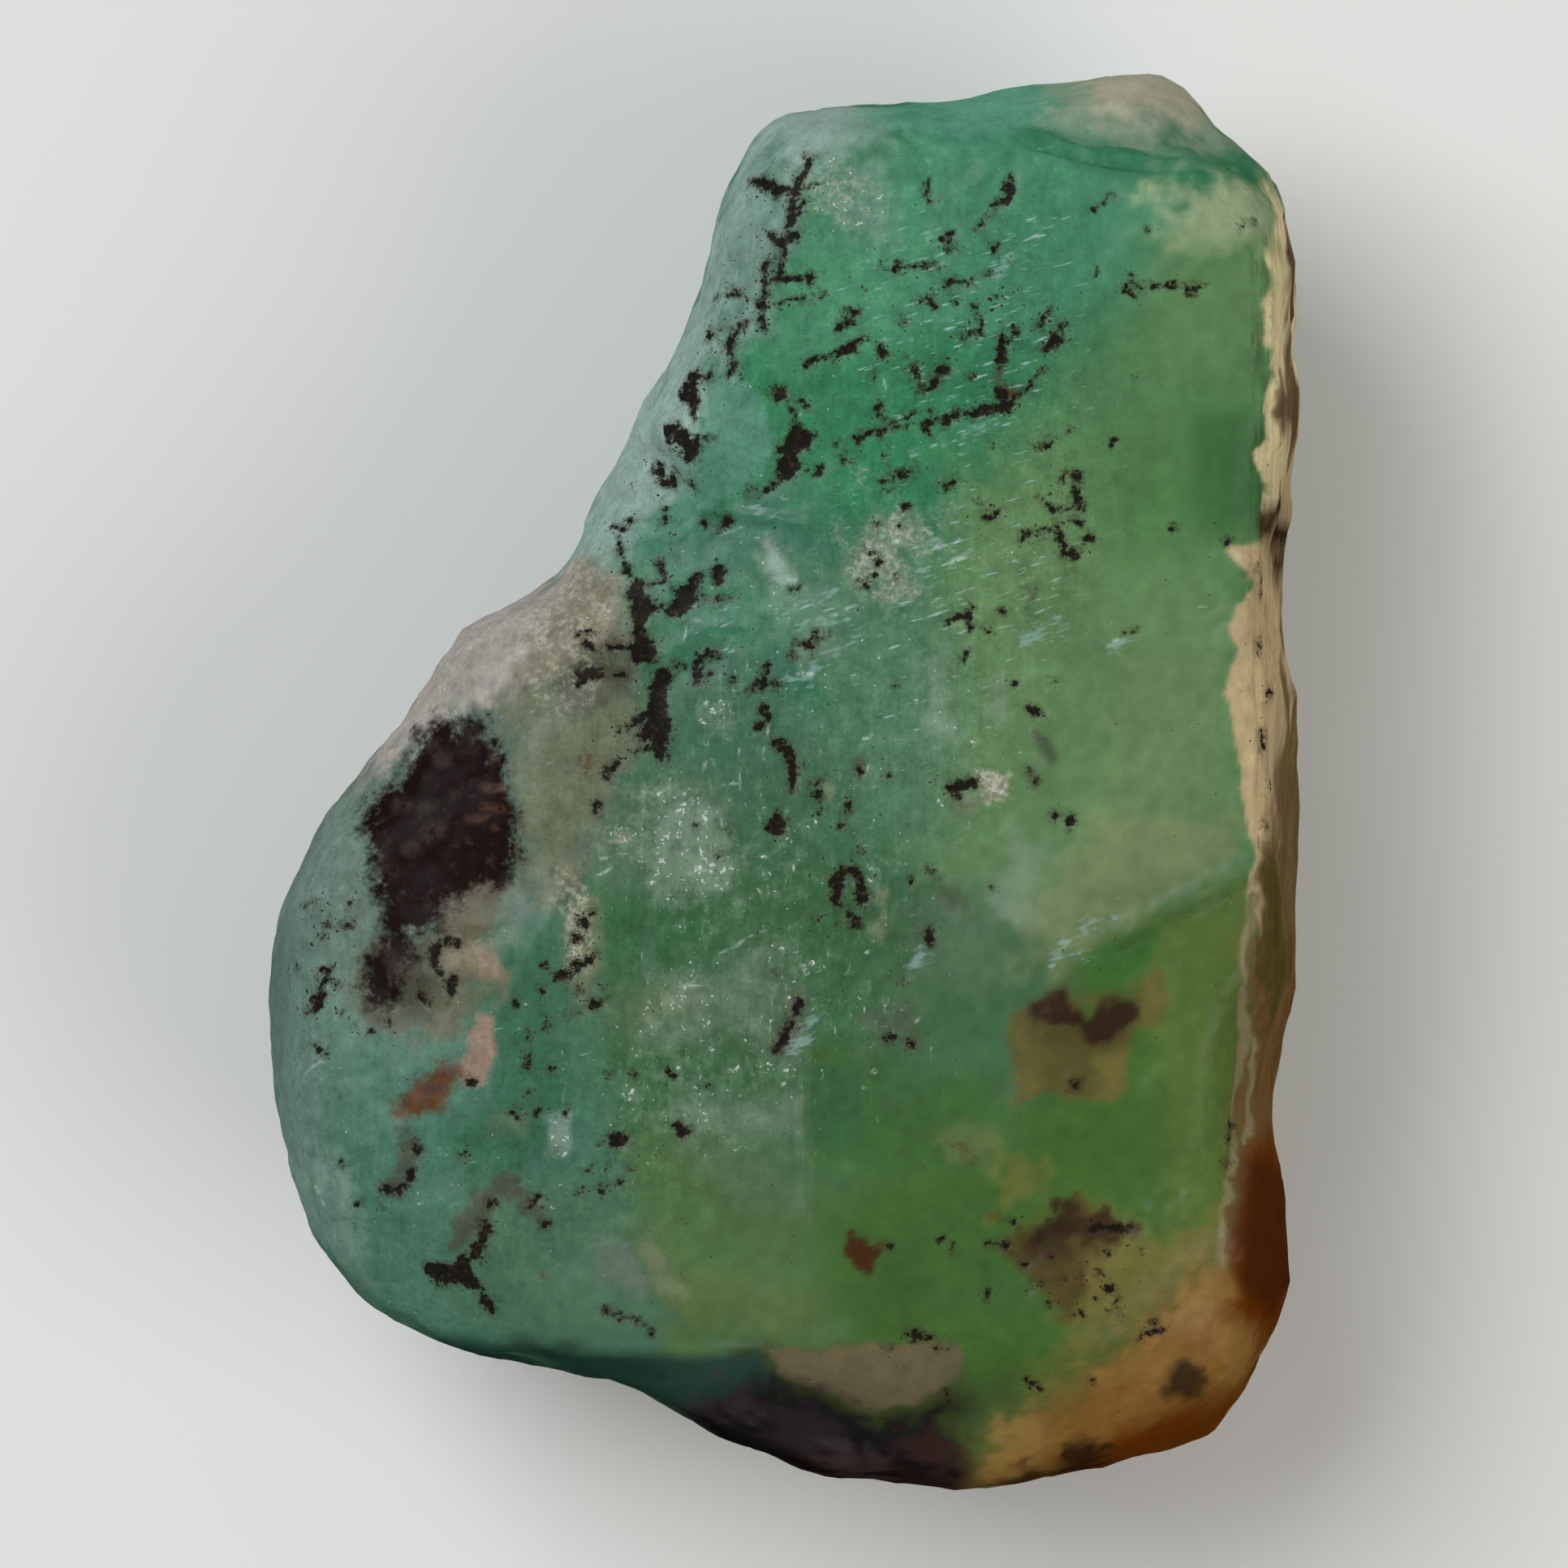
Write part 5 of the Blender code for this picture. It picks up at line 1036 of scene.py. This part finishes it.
def clouded(m, colour, busy, mottle, grain, upright):
    """Whitish veils, fine white specks that are painted glints, and pale crusts."""
    milk, pale = m.field("milk"), m.field("crust")
    veil = milk + mottle.sway(2.6) + upright.sway(1.0)
    colour = m.mix(veil.rising(*VEIL_FADE) * busy * VEIL_SHARE, colour, VEIL)
    # Painted glints: fine white sparkle, thicker in the milky veils.
    white_glints = (1.0 - grain) * 0.7 + mottle * 0.3 + milk * 0.09
    colour = m.mix(white_glints.rising(*WHITE_GLINTS_FADE) * busy * WHITE_GLINTS_SHARE, colour, SPARKLE_WHITE)
    crust = (pale * 1.5 + grain.sway(2.2) + mottle.sway(2.8)).rising(*CRUST_FADE) * pale.rising(0.0, 0.3)
    return m.mix(crust * CRUST_SHARE, colour, m.mix(grain.rising(0.4, 0.62), CRUST_DARK, CRUST))


def painted_glints(m, colour, place, busy, mottle, grain, upright):
    """Painted glints: tiny bright flecks in rows that rise to the right or stand upright, glints and pale
    blue streaks.
    """
    turned = m.node("Mapping", {"vector_type": "TEXTURE"},
                    {"Vector": place, "Rotation": (0, 0, ROW_TURN), "Scale": ROW_GLINT_SIZE})
    row = m.noise(turned, 1.0, 2.0)
    colour = m.mix((row + m.field("rows") * 0.12).rising(*GLINT_FLECK_FADE) * busy * GLINT_ROWS_SHARE, colour, GLINT_BLUE)
    stands = m.field("upright_glints")
    standing = (upright + stands * 0.08).rising(*GLINT_FLECK_FADE) * stands.rising(0.0, 0.3)
    colour = m.mix(standing * UPRIGHT_GLINTS_SHARE, colour, GLINT_BLUE)
    # painted glints: pale blue streaks
    blue_glints = (m.field("blue_glints") + mottle.sway(1.3) + row.sway(1.0)).rising(*BLUE_GLINT_FADE)
    colour = m.mix(blue_glints * BLUE_GLINT_SHARE, colour, GLINT_BLUE)
    glint = (m.field("glints") + grain.sway(0.12)).rising(*GLINT_FADE) * grain.rising(0.38, 0.56)
    return m.mix(glint * GLINT_SHARE, colour, SPARK)


def marked(m, colour, mottle, grain):
    """Stains, the dark patch, dark mica with a brown fringe, and dark specks around it."""
    ragged = mottle.sway(0.6) + grain.sway(0.35)
    brown = (m.field("brown") + ragged * 1.4).rising(*BROWN_FADE)
    colour = m.mix(brown * BROWN_SHARE, colour, m.mix(mottle.rising(0.42, 0.62), RUST, MICA_BROWN))
    grey = (m.field("grey") + ragged * 1.6).rising(*GREY_FADE)
    colour = m.mix(grey * GREY_SHARE, colour, m.mix(grain.rising(0.45, 0.6), PATCH_GREY, MICA_BROWN))
    patch = (m.field("patches") + ragged * 1.7).rising(*PATCH_FADE)
    light = (mottle * 1.3 + grain * 0.7 + grey * 0.27 + brown * 0.32).rising(
        *PATCH_LIGHT_FADE) * PATCH_LIGHT_SHARE
    colour = m.mix(patch, colour, m.mix(light, PATCH_DARK, m.mix(brown, PATCH_GREY, ORANGE)))
    marks = m.field("marks")
    specks = (grain + m.field("dust") * 0.055 + marks.rising(0.4, 0.05) * 0.055).rising(*SPECK_FADE)
    frayed = marks + mottle.sway(0.36) + grain.sway(0.42)
    colour = m.mix(frayed.rising(*FRINGE_FADE) * FRINGE_SHARE, colour, MICA_BROWN)
    mica = frayed.rising(*MICA_FADE).most(specks)
    flake = m.mix(grain.rising(0.48, 0.68) * 0.75, MICA, MICA_BROWN)
    return m.mix(mica * MICA_SHARE, colour, flake), mica.most(patch)


def finish(m, colour, place, mica, rind, mottle):
    """A satin stone with a thin gloss on its flat face, and a little light that goes in."""
    rough = (mottle.sway(0.5) + rind * 0.25 + mica * 0.05 + SATIN).least(ROUGHEST).most(SMOOTHEST)
    bump = m.node("Bump", None, {
        "Strength": BUMP, "Distance": BUMP_DEPTH * MM, "Height": m.noise(place, BUMP_WAVES)})
    m.surface({
        "Base Color": colour, "Roughness": rough, "Normal": bump, "IOR": BERYL_IOR, "Specular IOR Level": 0.0,
        "Coat Weight": m.field("gloss") * (1.0 - mica * 0.8),
        "Coat Roughness": COAT_ROUGHNESS, "Coat IOR": BERYL_IOR,
        "Subsurface Weight": SCATTER, "Subsurface Radius": SCATTER_BY_COLOUR,
        "Subsurface Scale": SCATTER_DEPTH * MM,
    }, {"subsurface_method": "RANDOM_WALK"})


# ---------------------------------------------------------------- the table, the lights and the camera
def table_top():
    shape = bmesh.new()
    bmesh.ops.create_grid(shape, x_segments=1, y_segments=1, size=TABLE_HALF)
    mesh = bpy.data.meshes.new("table")
    shape.to_mesh(mesh)
    shape.free()
    table = linked("table", mesh)
    m = Maker("pale table")
    m.surface({"Base Color": (*TABLE_GREY, 1), "Roughness": ROUGHEST})
    table.data.materials.append(m.material)


def soft_light(name, place, size, watts, colour):
    light = bpy.data.lights.new(name, "AREA")
    light.energy, light.size, light.color = watts, size, colour
    lamp = linked(name, light)
    lamp.location = place
    lamp.rotation_euler = (Vector(LIT_SPOT) - Vector(place)).to_track_quat("-Z", "Y").to_euler()


def light_and_camera():
    scene = bpy.context.scene
    scene.world = bpy.data.worlds.new("studio")
    scene.world.use_nodes = True
    sky = scene.world.node_tree.nodes["Background"].inputs
    sky["Color"].default_value, sky["Strength"].default_value = (1, 1, 1, 1), SKY
    soft_light("left window", place=(-0.22, 0.16, 0.40), size=0.30, watts=1.5, colour=(0.95, 0.98, 1.0))
    soft_light("right fill", place=(0.30, -0.16, 0.32), size=0.34, watts=0.8, colour=(1.0, 0.95, 0.88))
    camera = bpy.data.cameras.new("camera")
    camera.lens, camera.sensor_width = LENS, SENSOR
    camera.clip_start, camera.clip_end = 0.01, 10
    scene.camera = linked("camera", camera)
    scene.camera.location = (0.0, 0.0, FOCUS * MM + VIEW_WIDTH * MM * LENS / SENSOR)
    scene.view_settings.view_transform = "Standard"


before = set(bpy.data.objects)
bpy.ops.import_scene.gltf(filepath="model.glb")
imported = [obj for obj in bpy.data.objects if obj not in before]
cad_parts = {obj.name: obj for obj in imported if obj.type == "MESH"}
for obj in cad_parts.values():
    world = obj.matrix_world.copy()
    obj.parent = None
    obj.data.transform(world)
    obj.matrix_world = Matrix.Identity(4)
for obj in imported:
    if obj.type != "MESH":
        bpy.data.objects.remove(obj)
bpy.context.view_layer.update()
light_and_camera()
table_top()
stone = dressed_stone(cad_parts[NODE])
stone.data.materials.append(emerald_material())
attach(stone, "root")
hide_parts(NODE)
